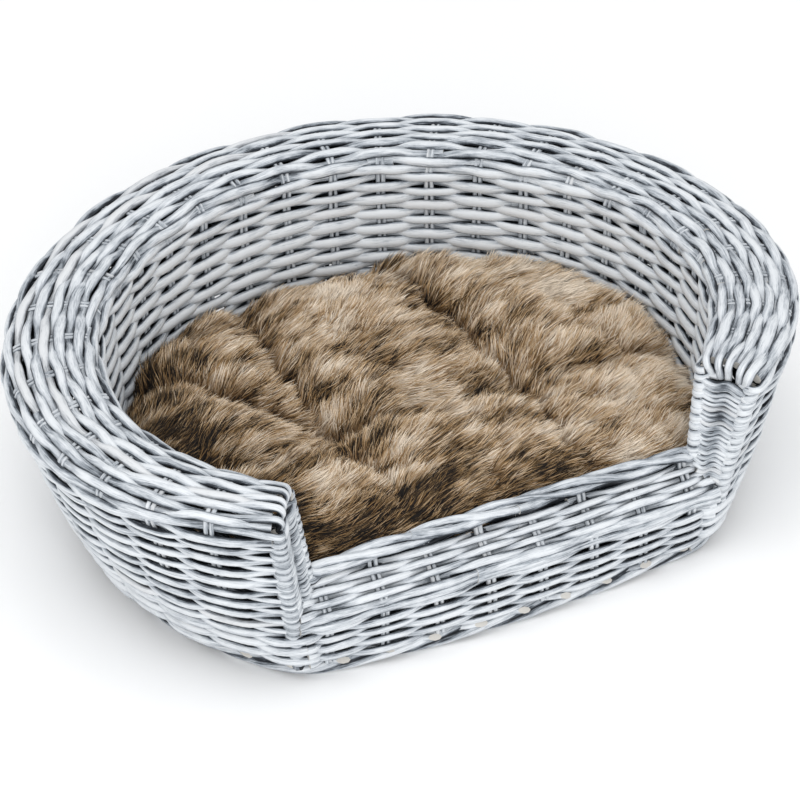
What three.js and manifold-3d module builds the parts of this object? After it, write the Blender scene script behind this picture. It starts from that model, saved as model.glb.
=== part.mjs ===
// Wicker pet bed: a double-walled willow basket with a low entrance, and a loose plush cushion.
// Millimetres, +Z up, entrance towards -Y, origin on the ground under the middle of the basket.
import * as THREE from 'three';
import { mergeVertices } from 'three/addons/utils/BufferGeometryUtils.js';
import Module from 'manifold-3d';

// ---------- Driving dimensions ----------
const GAP = 0.3; // clearance between touching pieces
const WEAVE = 7; // thickness of a woven wall
const CENTRE_Y = -50; // the widest line of the basket, behind the entrance

// The plan of the basket at four levels, each a half ellipse to the back and another to the front.
// side, back and front are the half axes, and end is how far past the side the arm reaches, in degrees.
const BASE = { side: 232, back: 221, front: 212, end: 45.4 };
const SHOULDER = { side: 285.6, back: 271, front: 220, end: 48.2 };
const FLOOR_EDGE = { side: 207, back: 193, front: 190, end: 47 };
const RIM_EDGE = { side: 219, back: 205, front: 184, end: 42.4 };
const SHOULDER_HEIGHT = 146;
const WALL_BULGE = { side: 4.2, back: 4, front: 0.8 }; // how far the outer wall swells at mid-height

const BORDER_RADIUS = 7; // base border rods, flattened underneath
const BORDER_TOP = 12;
const FLOOR_BOTTOM = 4;
const FLOOR_CLEAR = 2; // room between the border and the floor, which follow their corners differently
const FLOOR_TOP = FLOOR_BOTTOM + WEAVE;

// Upper surface of the rim band, as [share of the way from the shoulder to the nest, height].
const RIM_PROFILE = [[0, 146], [0.08, 150.5], [0.3, 155], [0.6, 157], [0.88, 155.5], [1, 151]];
const RIM_END = { shoulder: 51.1, edge: 45.7 }; // the rim reaches over the posts

const FRONT_HALF = 153.5; // half width of the front wall at the base
const FRONT_FLARE = 6.5; // how much further out the wall ends at the fold
const FRONT_Y = -208.2; // face of the front wall at its ends, at the base
const FRONT_LEAN = -2.3; // how far the fold stands in front of that
const FRONT_BOW = 12.6; // how far the middle bows out at the base
const FOLD_BOW = 3; // and at the fold
const FOLD_HEIGHT = 51;
const SILL_Y = -187; // inner edge of the sill
const SILL_HEIGHT = 79;
const SILL_HALF = 150; // half width of the sill at its inner edge
const SILL_DEPTH = 9; // vertical thickness of the sloped sill
const CORNER_CLEAR = 2; // room between the wall behind the sill and the side walls

const POST_RADIUS = 4.5;
const LEAN_CLEAR = 1.2; // room beside a leaning post
const POST_TURNS = 14; // turns of willow round an outer post
const OUTER_POST = [new THREE.Vector3(159.5, -203.4, 12.4), new THREE.Vector3(179.5, -212, 138.4)];
const INNER_POST = [new THREE.Vector3(148.3, -192.5, 79.6), new THREE.Vector3(159, -181.5, 143)];

const STAKE_RADIUS = 2;
const STAKE_CLEAR = 2; // room between a stake and the weave in front of it
const WALL_STAKES = 27;
const FRONT_STAKES = 8;
const FRONT_STAKE_MARGIN = 14; // from the end of the front wall to its first stake
const PANEL_NAMES = ['right', 'back', 'left']; // the wall panels, in the order they follow round

const CUSHION_CLEAR = 4; // room between the cushion and the inner wall
const COVER_THICK = 4;
const CLOTH_THICK = 1.6;
// Outer profile of the cushion, as [share of the way out from the middle, height above its base].
const CUSHION_PROFILE = [[0.985, 2], [1, 22], [0.985, 42], [0.92, 56], [0.7, 66], [0.35, 70], [0, 71]];
const TUFTS = [[-70, -66], [70, -66]];
const TIE_RADIUS = 1.2;
const TIE_LENGTH = 62;

// ---------- Materials ----------
const willow = (hex) => new THREE.MeshStandardMaterial({ color: hex, roughness: 0.7, metalness: 0 });
const WILLOW = willow(0xaab4bf);
const WILLOW_POST = willow(0xb9c2ca);
const WILLOW_STAKE = willow(0x8e99a6);
const PLUSH = new THREE.MeshStandardMaterial({ color: 0xa28c76, roughness: 0.95, metalness: 0 });
const CLOTH = new THREE.MeshStandardMaterial({ color: 0x4a3d33, roughness: 0.9, metalness: 0 });
const WADDING = new THREE.MeshStandardMaterial({ color: 0xe8e4dc, roughness: 1, metalness: 0 });
const THREAD = new THREE.MeshStandardMaterial({ color: 0x6b5a4a, roughness: 0.8, metalness: 0 });

// ---------- Geometry helpers ----------
const mix = THREE.MathUtils.lerp;
const wasm = await Module();
wasm.setup();

/** Moves every vertex of a unit geometry by map(x, y, z), and keeps the faces pointing out. */
function bend(geometry, map) {
  const position = geometry.attributes.position;
  for (let i = 0; i < position.count; i++) {
    const to = map(position.getX(i), position.getY(i), position.getZ(i));
    position.setXYZ(i, to.x, to.y, to.z);
  }
  return welded(geometry);
}

/** Leaves a closed mesh with shared vertices, turned the right way out. */
function welded(geometry) {
  geometry.deleteAttribute('normal');
  geometry.deleteAttribute('uv');
  const merged = mergeVertices(geometry, 1e-3);
  const { array } = merged.attributes.position;
  const index = merged.index.array;
  const corner = (i) => new THREE.Vector3().fromArray(array, index[i] * 3);
  let volume = 0;
  for (let i = 0; i < index.length; i += 3) volume += corner(i).dot(corner(i + 1).cross(corner(i + 2)));
  if (volume < 0) index.reverse();
  merged.computeVertexNormals();
  return merged;
}

/** A slab bent from a unit box: map takes 0..1 along, 0..1 inwards and 0..1 up. */
function slab(along, inwards, up, map) {
  const box = new THREE.BoxGeometry(1, 1, 1, along, inwards, up);
  return bend(box, (x, y, z) => map(x + 0.5, y + 0.5, z + 0.5));
}

/** A round rod of the given radius along a path. */
function rod(path, radius, sides, steps) {
  const section = new THREE.Shape();
  for (let i = 0; i < sides; i++) {
    const angle = (2 * Math.PI * i) / sides;
    section[i ? 'lineTo' : 'moveTo'](radius * Math.cos(angle), radius * Math.sin(angle));
  }
  return welded(new THREE.ExtrudeGeometry(section, { steps, bevelEnabled: false, extrudePath: path }));
}

function toSolid(geometry) {
  const { position } = geometry.attributes;
  const mesh = new wasm.Mesh({
    numProp: 3,
    vertProperties: new Float32Array(position.array),
    triVerts: new Uint32Array(geometry.index.array),
  });
  return new wasm.Manifold(mesh);
}

/** Cuts each tool out of the body. */
function cut(body, tools) {
  const left = tools.reduce((solid, tool) => solid.subtract(toSolid(tool)), toSolid(body)).getMesh();
  const geometry = new THREE.BufferGeometry();
  geometry.setAttribute('position', new THREE.BufferAttribute(new Float32Array(left.vertProperties), 3));
  geometry.setIndex(new THREE.BufferAttribute(new Uint32Array(left.triVerts), 1));
  geometry.computeVertexNormals();
  return geometry;
}

function mirrored(geometry) {
  return bend(geometry.clone(), (x, y, z) => ({ x: -x, y, z }));
}

// ---------- The plan of the basket ----------
function mixRing(a, b, share) {
  const ring = {};
  for (const key of Object.keys(a)) ring[key] = mix(a[key], b[key], share);
  return ring;
}

/** A point at an angle on a ring, moved inwards square to it. */
function atAngle(ring, degrees, inset, height) {
  const angle = THREE.MathUtils.degToRad(degrees);
  const depth = Math.sin(angle) > 0 ? ring.back : ring.front;
  const out = new THREE.Vector2(Math.cos(angle) / ring.side, Math.sin(angle) / depth).normalize();
  return new THREE.Vector3(
    ring.side * Math.cos(angle) - out.x * inset,
    CENTRE_Y + depth * Math.sin(angle) - out.y * inset,
    height,
  );
}

/** The same, by the share of the way round from the right arm's end to the left arm's end. */
function onRing(ring, share, inset, height) {
  return atAngle(ring, mix(-ring.end, 180 + ring.end, share), inset, height);
}

function outerRing(height) {
  const share = height / SHOULDER_HEIGHT;
  const swell = 4 * share * (1 - share);
  const ring = mixRing(BASE, SHOULDER, share);
  for (const key of Object.keys(WALL_BULGE)) ring[key] += WALL_BULGE[key] * swell;
  return ring;
}

function innerRing(height) {
  return mixRing(FLOOR_EDGE, RIM_EDGE, (height - FLOOR_TOP) / (SHOULDER_HEIGHT - FLOOR_TOP));
}

const rimRing = (share) => mixRing(
  { ...SHOULDER, end: RIM_END.shoulder },
  { ...RIM_EDGE, end: RIM_END.edge },
  share,
);

function rimHeight(share) {
  const next = Math.max(1, RIM_PROFILE.findIndex(([at]) => at >= share));
  const [from, low] = RIM_PROFILE[next - 1];
  const [to, high] = RIM_PROFILE[next];
  return mix(low, high, (share - from) / (to - from));
}

/** Face of the front wall: its y at a share across and at a height. */
function frontFace(x, half, height) {
  const up = height / FOLD_HEIGHT;
  const bow = mix(FRONT_BOW, FOLD_BOW, up) * (1 - (x / half) ** 2);
  return FRONT_Y + FRONT_LEAN * up - bow;
}

/** Height of the sill's sloped top, from the fold back to its inner edge. */
function sillTop(y) {
  const foldY = FRONT_Y + FRONT_LEAN;
  const share = THREE.MathUtils.clamp((y - foldY) / (SILL_Y - foldY), 0, 1);
  return mix(FOLD_HEIGHT, SILL_HEIGHT, share);
}

/** The closed outline of the base: the arms' curve, then the bowed front edge. Angles 0 to 360. */
function outline(degrees, ring, inset, frontY, bow) {
  const turn = degrees > 270 ? degrees - 360 : degrees;
  if (turn >= -ring.end && turn <= 180 + ring.end) return atAngle(ring, turn, inset, 0);
  const corner = atAngle(ring, -ring.end, inset, 0);
  const share = (degrees - 270) / (90 - ring.end);
  return new THREE.Vector3(corner.x * share, frontY + inset - bow * (1 - share ** 2), 0);
}

// ---------- The basket ----------
/** Three panels follow each other round a wall; each is a node of its own. */
function panels(name, ring, map) {
  const seam = GAP / (ring.side * 4.6);
  return PANEL_NAMES.map((side, i) => {
    const from = i / 3 + (i ? seam : 0);
    const to = (i + 1) / 3 - (i < 2 ? seam : 0);
    return [`${name}_${side}`, (share, ...rest) => map(mix(from, to, share), ...rest)];
  });
}

function outerWalls() {
  const [low, high] = [BORDER_TOP + GAP, RIM_PROFILE[0][1] - WEAVE - GAP];
  return panels('outer_wall', SHOULDER, (share, depth, up) => {
    const height = mix(low, high, up);
    return onRing(outerRing(height), share, depth * WEAVE, height);
  }).map(([name, map]) => [name, slab(16, 1, 4, map)]);
}

function innerWalls() {
  const [low, high] = [FLOOR_TOP + GAP, rimHeight(1) - WEAVE - GAP];
  return panels('inner_wall', RIM_EDGE, (share, depth, up) => {
    const height = mix(low, high, up);
    return onRing(innerRing(height), share, (depth - 1) * WEAVE, height);
  }).map(([name, map]) => [name, slab(14, 1, 2, map)]);
}

function rimBands() {
  const stations = RIM_PROFILE.length - 1;
  return panels('rim_weave', SHOULDER, (share, across, up) => {
    const [at, height] = RIM_PROFILE[Math.round(across * stations)];
    return onRing(rimRing(at), share, 0, height - (1 - up) * WEAVE);
  }).map(([name, map]) => [name, slab(14, stations, 1, map)]);
}

/** A ring of rods laid round the foot of the wall, with a flat underside to stand on. */
function baseBorder() {
  const points = [];
  for (let degrees = -40; degrees < 320; degrees += 10) {
    points.push(outline((degrees + 360) % 360, BASE, BORDER_RADIUS, FRONT_Y, FRONT_BOW));
  }
  const path = new THREE.CatmullRomCurve3(points, true);
  const flat = BORDER_RADIUS * Math.SQRT1_2;
  const hub = 100; // radius of the plain ring before it takes the outline
  const torus = new THREE.TorusGeometry(hub, BORDER_RADIUS, 8, 72);
  return bend(torus, (x, y, z) => {
    const share = (Math.atan2(y, x) / (2 * Math.PI) + 1) % 1;
    const tangent = path.getTangentAt(share);
    const outwards = Math.hypot(x, y) - hub;
    const at = path.getPointAt(share);
    const height = Math.max(z, -flat) + flat;
    return new THREE.Vector3(at.x + tangent.y * outwards, at.y - tangent.x * outwards, height);
  });
}

/** The woven floor, a flat plate inside the border. */
function baseWeave() {
  const inset = 2 * BORDER_RADIUS + FLOOR_CLEAR;
  const shape = new THREE.Shape();
  for (let degrees = 0; degrees < 360; degrees += 7.5) {
    const at = outline(degrees, BASE, inset, FRONT_Y, FRONT_BOW);
    shape[degrees ? 'lineTo' : 'moveTo'](at.x, at.y);
  }
  const plate = new THREE.ExtrudeGeometry(shape, { depth: WEAVE, bevelEnabled: false });
  plate.translate(0, 0, FLOOR_BOTTOM);
  return welded(plate);
}

function frontWall() {
  const [low, high] = [BORDER_TOP + GAP, FOLD_HEIGHT - SILL_DEPTH - GAP];
  return slab(12, 1, 1, (share, depth, up) => {
    const height = mix(low, high, up);
    const half = FRONT_HALF + FRONT_FLARE * (height / FOLD_HEIGHT) - GAP;
    const x = mix(-half, half, share);
    return new THREE.Vector3(x, frontFace(x, half, height) + depth * WEAVE, height);
  });
}

/** The sill slopes from its inner edge down to the fold over the front wall. */
function sillWeave() {
  const foldHalf = FRONT_HALF + FRONT_FLARE - GAP;
  return slab(12, 2, 1, (share, back, up) => {
    const half = mix(foldHalf, SILL_HALF, back);
    const x = mix(-half, half, share);
    const y = mix(frontFace(x, half, FOLD_HEIGHT), SILL_Y, back);
    return new THREE.Vector3(x, y, mix(FOLD_HEIGHT, SILL_HEIGHT, back) - (1 - up) * SILL_DEPTH);
  });
}

function sillInnerWall() {
  const half = atAngle(FLOOR_EDGE, FLOOR_EDGE.end, 0, 0).x - CORNER_CLEAR;
  return slab(1, 1, 1, (share, front, up) => {
    const y = SILL_Y - (1 - front) * WEAVE;
    const high = sillTop(y) - SILL_DEPTH - GAP;
    return new THREE.Vector3(mix(-half, half, share), y, mix(FLOOR_TOP + GAP, high, up));
  });
}

/** A corner post: a core wrapped in turns of willow, standing proud of each groove between turns. */
function post([foot, head], turns) {
  const length = foot.distanceTo(head);
  const groove = 0.8;
  const profile = [new THREE.Vector2(0, 0)];
  for (let turn = 0; turn < turns; turn++) {
    profile.push(new THREE.Vector2(POST_RADIUS - groove, (turn / turns) * length));
    profile.push(new THREE.Vector2(POST_RADIUS, ((turn + 0.5) / turns) * length));
  }
  profile.push(new THREE.Vector2(POST_RADIUS - groove, length), new THREE.Vector2(0, length));
  const geometry = new THREE.LatheGeometry(profile, 8);
  const up = new THREE.Vector3(0, 1, 0);
  geometry.applyQuaternion(new THREE.Quaternion().setFromUnitVectors(up, head.clone().sub(foot).normalize()));
  geometry.translate(foot.x, foot.y, foot.z);
  return welded(geometry);
}

const along = ([foot, head], height) => foot.clone().lerp(head, (height - foot.z) / (head.z - foot.z));

/** The right arm's end face, between its two posts and from the sill up to the rim. */
function cheek() {
  const clear = POST_RADIUS + LEAN_CLEAR;
  return slab(1, 1, 1, (inwards, depth, up) => {
    const place = (height) => {
      const outer = along(OUTER_POST, height);
      const run = along(INNER_POST, height).sub(outer);
      const length = run.length();
      run.divideScalar(length);
      const side = new THREE.Vector3(-run.y, run.x, 0).multiplyScalar(WEAVE * (0.5 - depth));
      return outer.addScaledVector(run, mix(clear, length - clear, inwards)).add(side);
    };
    const low = sillTop(place(mix(FOLD_HEIGHT, SILL_HEIGHT, inwards)).y) + LEAN_CLEAR;
    const high = mix(OUTER_POST[1].z, INNER_POST[1].z, inwards);
    return place(mix(low, high, up));
  });
}

/** A stake goes up behind the outer weave, over under the rim and down behind the inner weave. */
function wallStake(share) {
  const clear = WEAVE + STAKE_CLEAR + STAKE_RADIUS;
  const outer = (height) => onRing(outerRing(height), share, clear, height);
  const inner = (height) => onRing(innerRing(height), share, -clear, height);
  const arch = (across) => onRing(rimRing(across), share, 0, rimHeight(across) - clear);
  const path = new THREE.CatmullRomCurve3([
    ...[BORDER_TOP + 2, 55, 95, 126].map(outer),
    ...[0.3, 0.5, 0.68].map(arch),
    ...[126, 70, FLOOR_TOP + 3].map(inner),
  ]);
  return rod(path, STAKE_RADIUS, 6, 14);
}

/** A front stake goes up behind the front wall and bends back under the sill. */
function frontStake(share) {
  const x = mix(-1, 1, share) * (FRONT_HALF - FRONT_STAKE_MARGIN);
  const behind = WEAVE + STAKE_CLEAR + STAKE_RADIUS;
  const wall = (height) => new THREE.Vector3(x, frontFace(x, FRONT_HALF, height) + behind, height);
  const tip = SILL_Y - WEAVE - STAKE_CLEAR - STAKE_RADIUS / 2;
  const under = new THREE.Vector3(x, tip, sillTop(tip) - SILL_DEPTH - 2 * STAKE_RADIUS - GAP);
  const path = new THREE.CatmullRomCurve3([wall(BORDER_TOP + 2), wall(FOLD_HEIGHT * 0.6), under]);
  return rod(path, STAKE_RADIUS, 6, 6);
}

// ---------- The cushion ----------
const CUSHION_RING = { ...FLOOR_EDGE, side: 212, back: 198, front: 190 };
const CUSHION_BASE = FLOOR_TOP + GAP;

/** A closed body turned from a profile and spread to the plan of the nest. */
function nestBody(profile, inset, base) {
  const points = profile.map(([share, height]) => new THREE.Vector2(share, height));
  const centre = new THREE.Vector3(0, CENTRE_Y, 0);
  return bend(new THREE.LatheGeometry(points, 40), (x, height, z) => {
    const degrees = (THREE.MathUtils.radToDeg(Math.atan2(z, x)) + 360) % 360;
    const edge = outline(degrees, CUSHION_RING, CUSHION_CLEAR + inset, SILL_Y, 0);
    const at = edge.sub(centre).multiplyScalar(Math.hypot(x, z)).add(centre);
    return new THREE.Vector3(at.x, at.y, base + height);
  });
}

/** The plush cover is a crowned shell, open underneath where the base cloth closes it. */
function cushionCover() {
  const inner = CUSHION_PROFILE.map(([share, height]) => [share * 0.975, Math.max(0, height - COVER_THICK)]);
  inner[0][1] = 0;
  const foot = CUSHION_PROFILE[0][0];
  const shell = [[foot, 0], ...CUSHION_PROFILE, ...inner.reverse(), [foot, 0]];
  return nestBody(shell, 0, CUSHION_BASE + CLOTH_THICK + GAP);
}

function cushionCloth() {
  return nestBody([[0, 0], [0.97, 0], [0.97, CLOTH_THICK], [0, CLOTH_THICK]], 0, CUSHION_BASE);
}

/** One tie's thread, from the base cloth up to the inside of the cover. */
function tie([x, y], radius, from, to) {
  const thread = new THREE.CylinderGeometry(radius, radius, to - from, 10);
  thread.rotateX(Math.PI / 2);
  thread.translate(x, y, (from + to) / 2);
  return welded(thread);
}

const FILLING_BASE = CUSHION_BASE + CLOTH_THICK + 2 * GAP;
const TIE_TOP = FILLING_BASE + TIE_LENGTH;

function cushionFilling() {
  const shrink = ([share, height]) => [share * 0.965, Math.max(0, height - COVER_THICK - 1)];
  const profile = CUSHION_PROFILE.map(shrink);
  profile[0][1] = 0;
  const body = nestBody([[0, 0], ...profile], 0, FILLING_BASE);
  return cut(body, TUFTS.map((at) => tie(at, TIE_RADIUS + GAP, 0, 2 * TIE_TOP)));
}

// ---------- The whole bed ----------
const bed = new THREE.Group();

function add(name, geometry, material) {
  const mesh = new THREE.Mesh(geometry, material);
  mesh.name = name;
  bed.add(mesh);
}

add('base_border', baseBorder(), WILLOW_POST);
add('base_weave', baseWeave(), WILLOW);
for (const [name, geometry] of [...outerWalls(), ...innerWalls(), ...rimBands()]) add(name, geometry, WILLOW);
add('front_wall', frontWall(), WILLOW);
add('sill_weave', sillWeave(), WILLOW);
add('sill_inner_wall', sillInnerWall(), WILLOW);
const armPieces = {
  cheek_weave: [cheek(), WILLOW],
  outer_post: [post(OUTER_POST, POST_TURNS), WILLOW_POST],
  inner_post: [post(INNER_POST, POST_TURNS / 2), WILLOW_POST],
};
for (const [name, [geometry, material]] of Object.entries(armPieces)) {
  add(`${name}_right`, geometry, material);
  add(`${name}_left`, mirrored(geometry), material);
}
for (let i = 0; i < WALL_STAKES; i++) {
  add(`wall_stake_${i + 1}`, wallStake((i + 1) / (WALL_STAKES + 1)), WILLOW_STAKE);
}
for (let i = 0; i < FRONT_STAKES; i++) {
  add(`front_stake_${i + 1}`, frontStake(i / (FRONT_STAKES - 1)), WILLOW_STAKE);
}
add('cushion_cover', cushionCover(), PLUSH);
add('cushion_base_cloth', cushionCloth(), CLOTH);
add('cushion_filling', cushionFilling(), WADDING);
TUFTS.forEach((at, i) => add(`cushion_tie_${i + 1}`, tie(at, TIE_RADIUS, FILLING_BASE, TIE_TOP), THREAD));

export default bed;
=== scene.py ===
# %% [markdown]
# # A wicker pet bed
# A willow basket with a hollow double wall, a broad rolled rim and a cut-down entrance holds a loose
# plush cushion. The plain model from the workshop gives every size. This lesson weaves the walls rod by
# rod, fills and tufts the cushion, and then grows its pile strand by strand.
# Everything is measured in metres, with +Z up and the entrance towards -Y.

# %% Load the plain model
import math
import bpy
import numpy as np
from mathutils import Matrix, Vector


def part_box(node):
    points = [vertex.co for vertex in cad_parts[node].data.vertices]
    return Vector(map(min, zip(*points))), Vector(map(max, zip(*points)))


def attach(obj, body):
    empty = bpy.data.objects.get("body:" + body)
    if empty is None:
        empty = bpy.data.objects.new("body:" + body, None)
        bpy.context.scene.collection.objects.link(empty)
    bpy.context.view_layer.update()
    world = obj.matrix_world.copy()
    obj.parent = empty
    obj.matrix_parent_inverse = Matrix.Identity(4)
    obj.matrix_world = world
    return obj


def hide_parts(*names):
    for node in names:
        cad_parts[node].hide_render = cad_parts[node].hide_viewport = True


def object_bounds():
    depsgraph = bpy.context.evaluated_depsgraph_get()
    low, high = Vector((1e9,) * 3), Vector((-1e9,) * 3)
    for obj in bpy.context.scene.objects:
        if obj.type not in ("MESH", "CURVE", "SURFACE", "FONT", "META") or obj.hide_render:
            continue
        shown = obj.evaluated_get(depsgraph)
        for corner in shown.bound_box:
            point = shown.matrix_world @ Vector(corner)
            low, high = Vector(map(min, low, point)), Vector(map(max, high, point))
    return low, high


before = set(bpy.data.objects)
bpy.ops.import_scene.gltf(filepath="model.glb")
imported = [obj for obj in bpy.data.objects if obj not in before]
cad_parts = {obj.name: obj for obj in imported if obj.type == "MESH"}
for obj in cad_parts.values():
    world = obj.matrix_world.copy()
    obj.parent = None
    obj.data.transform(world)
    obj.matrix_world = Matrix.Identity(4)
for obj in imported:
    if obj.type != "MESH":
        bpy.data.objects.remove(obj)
CAD_LOW, CAD_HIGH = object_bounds()
MM = 0.001
print("plain model", [round(v, 3) for v in CAD_LOW], [round(v, 3) for v in CAD_HIGH])


def low(node):
    return np.array(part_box(node)[0])


def high(node):
    return np.array(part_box(node)[1])


# %% [markdown]
# ## Camera, floor and light
# A long lens keeps the basket's two ends nearly the same size. The camera stands off its front left
# corner and looks down into the nest. A large soft lamp overhead and a pale surround leave no hard
# shadow, so the weave is drawn by its own gaps.

# %% Camera
AZIMUTH = math.radians(-26.56)
ELEVATION = math.radians(36.6)
DISTANCE = 2.282
TARGET = Vector((-0.0012, -0.0357, 0.07))
LENS = 143.96

back = Vector((
    math.sin(AZIMUTH) * math.cos(ELEVATION),
    -math.cos(AZIMUTH) * math.cos(ELEVATION),
    math.sin(ELEVATION),
))
camera_data = bpy.data.cameras.new("camera")
camera_data.lens = LENS
camera_data.clip_end = 20
camera = bpy.data.objects.new("camera", camera_data)
camera.location = TARGET + back * DISTANCE
camera.rotation_euler = (-back).to_track_quat("-Z", "Y").to_euler()
bpy.context.scene.collection.objects.link(camera)
bpy.context.scene.camera = camera
print("camera at", [round(v, 3) for v in camera.location])

# %% Floor and lights
FLOOR_SIZE = 12
FLOOR_GAP = 0.0002
SURROUND_COLOUR = (0.98, 0.99, 1, 1)
SURROUND_STRENGTH = 0.88


def lamp(name, place, size, watts, towards=(0, 0, 0.05)):
    """A square soft lamp that faces a point."""
    data = bpy.data.lights.new(name, "AREA")
    data.size = size
    data.energy = watts
    lit = bpy.data.objects.new(name, data)
    lit.location = place
    lit.rotation_euler = (Vector(towards) - Vector(place)).to_track_quat("-Z", "Y").to_euler()
    bpy.context.scene.collection.objects.link(lit)
    return lit


bpy.ops.mesh.primitive_plane_add(size=FLOOR_SIZE, location=(0, 0, CAD_LOW.z - FLOOR_GAP))
floor = bpy.context.object
floor.name = "studio_floor"

lamp("overhead", (-0.4, -0.2, 2.0), 1.4, 9)
lamp("front_fill", (-1.0, -2.6, 1.5), 1.6, 30)
world = bpy.data.worlds.new("pale_surround")
world.use_nodes = True
background = world.node_tree.nodes["Background"]
background.inputs["Color"].default_value = SURROUND_COLOUR
background.inputs["Strength"].default_value = SURROUND_STRENGTH
bpy.context.scene.world = world
bpy.context.scene.view_settings.view_transform = "Standard"
print("floor", FLOOR_SIZE, "m wide, surround at", SURROUND_STRENGTH)

# %% [markdown]
# ## Writing materials as sums
# A material is a tree of nodes. Here a socket is wrapped in a small class, so that a sum such as
# `1 - mask` adds its own Math node, and any other node comes from one method.

# %% The material helper
class Wire:
    """A node's output that can be added, multiplied and so on."""

    def __init__(self, recipe, socket):
        self.recipe = recipe
        self.socket = socket

    def sum(self, operation, first, second):
        return self.recipe.node("ShaderNodeMath", {"operation": operation}, {0: first, 1: second})

    def __add__(self, other):
        return self.sum("ADD", self, other)

    def __radd__(self, other):
        return self.sum("ADD", other, self)

    def __sub__(self, other):
        return self.sum("SUBTRACT", self, other)

    def __rsub__(self, other):
        return self.sum("SUBTRACT", other, self)

    def __mul__(self, other):
        return self.sum("MULTIPLY", self, other)

    def __rmul__(self, other):
        return self.sum("MULTIPLY", other, self)

    def __gt__(self, other):
        return self.sum("GREATER_THAN", self, other)


# %% A material's recipe
class Recipe:
    """A material with one Principled shader, and the nodes that feed it."""

    def __init__(self, name):
        self.material = bpy.data.materials.new(name)
        self.material.use_nodes = True
        self.tree = self.material.node_tree
        self.shader = self.tree.nodes["Principled BSDF"]

    def node(self, kind, settings=None, inputs=None, output=0):
        made = self.tree.nodes.new(kind)
        for key, value in (settings or {}).items():
            if key == "stops":
                self.set_stops(made.color_ramp, value)
            else:
                setattr(made, key, value)
        for key, value in (inputs or {}).items():
            self.feed(made.inputs[key], value)
        return Wire(self, made.outputs[output])

    def set_stops(self, ramp, stops):
        while len(ramp.elements) < len(stops):
            ramp.elements.new(1)
        for element, (place, colour) in zip(ramp.elements, stops):
            element.position = place
            element.color = (*colour, 1)

    def feed(self, socket, value):
        if isinstance(value, Wire):
            self.tree.links.new(value.socket, socket)
        else:
            socket.default_value = value

    def set(self, **inputs):
        for key, value in inputs.items():
            self.feed(self.shader.inputs[key.replace("_", " ")], value)
        return self.material

    def attribute(self, name, output="Fac"):
        return self.node("ShaderNodeAttribute", {"attribute_name": name}, output=output)

    def place(self):
        return self.node("ShaderNodeTexCoord", output="Object")

    def stretched(self, vector, scale):
        return self.node("ShaderNodeVectorMath", {"operation": "MULTIPLY"}, {0: vector, 1: scale})

    def noise(self, vector, scale, detail=3.0, roughness=0.55):
        inputs = {"Vector": vector, "Scale": scale, "Detail": detail, "Roughness": roughness}
        return self.node("ShaderNodeTexNoise", inputs=inputs)

    def ramp(self, factor, stops):
        return self.node("ShaderNodeValToRGB", {"stops": stops}, {0: factor})

    def mix(self, factor, first, second):
        first, second = (c if isinstance(c, Wire) else (*c, 1) for c in (first, second))
        settings = {"data_type": "RGBA"}
        return self.node("ShaderNodeMix", settings, {0: factor, 6: first, 7: second}, output=2)

    def bump(self, height, strength, distance):
        inputs = {"Height": height, "Strength": strength, "Distance": distance}
        return self.node("ShaderNodeBump", inputs=inputs)


# %% [markdown]
# ## Whitewashed willow
# The rods are stained slate blue and then brushed with thin white paint. The colour is lightest on the
# crowns of the weave and darkens on the sides, the backs and in the dips, partly where the brush misses
# and partly as painted shade for the shade in the gaps, which is what makes a weave readable. Each rod
# carries its own numbers: how far along and around it a point is, how much paint it gets, lowered by
# painted shade on its back, its sides and in dips, a tone of its own, and whether the point is on a cut
# end.

# %% Willow and floor materials
# How many streaks, fibres and patches there are to a metre along a rod, and round it.
STREAKS = (55, 1.6, 1.6)
FIBRES = (90, 9, 9)
PATCHES = 45.0
BARE_ROD = 0.95
FLOOR_CLOUDS = 1.5


def willow(name, wash_and_light=1.0):
    """Painted willow, with a share of paint that is raised on the inner wall's copy as painted light.
    """
    recipe = Recipe(name)
    grain = recipe.attribute("grain", "Vector")
    exposed = recipe.attribute("exposed")
    tone = recipe.attribute("tone")
    cut = recipe.attribute("cut")
    streaks = recipe.noise(recipe.stretched(grain, STREAKS), 1.0, 4.0)
    fibres = recipe.noise(recipe.stretched(grain, FIBRES), 1.0, 4.0, 0.75)
    patches = recipe.noise(recipe.place(), PATCHES, 4.0)
    wear = (streaks - 0.5) * 1.2 + (patches - 0.5) * 0.8 + (fibres - 0.5) * 1.8
    # The ramp runs from the dark stain up to white paint; its dark end also stands for painted shade.
    paint_and_shade = exposed * wash_and_light + wear + (tone - 0.5) * 0.25 + 0.02
    colour = recipe.ramp(paint_and_shade, [
        (0.0, (0.004, 0.006, 0.01)),
        (0.24, (0.045, 0.055, 0.07)),
        (0.44, (0.27, 0.3, 0.335)),
        (0.68, (0.5, 0.53, 0.565)),
        (1.0, (0.72, 0.745, 0.77)),
    ])
    warm = (tone > BARE_ROD) * 0.12
    colour = recipe.mix(warm, colour, (0.45, 0.38, 0.32))
    end_grain = recipe.mix(fibres, (0.4, 0.36, 0.31), (0.74, 0.74, 0.72))
    colour = recipe.mix(cut, colour, end_grain)
    normal = recipe.bump(streaks * 0.6 + fibres * 0.4, 0.5, 0.0006)
    rough = 0.78 - streaks * 0.25
    return recipe.set(Base_Color=colour, Roughness=rough, Normal=normal)


def floor_material():
    recipe = Recipe("pale_floor")
    faint = recipe.noise(recipe.place(), FLOOR_CLOUDS, 2.0)
    colour = recipe.mix(faint, (0.93, 0.93, 0.93), (0.96, 0.96, 0.96))
    return recipe.set(Base_Color=colour, Roughness=0.9)


WILLOW = willow("whitewashed_willow")
WILLOW_FINE = willow("whitewashed_fine_willow", 0.92)
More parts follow.
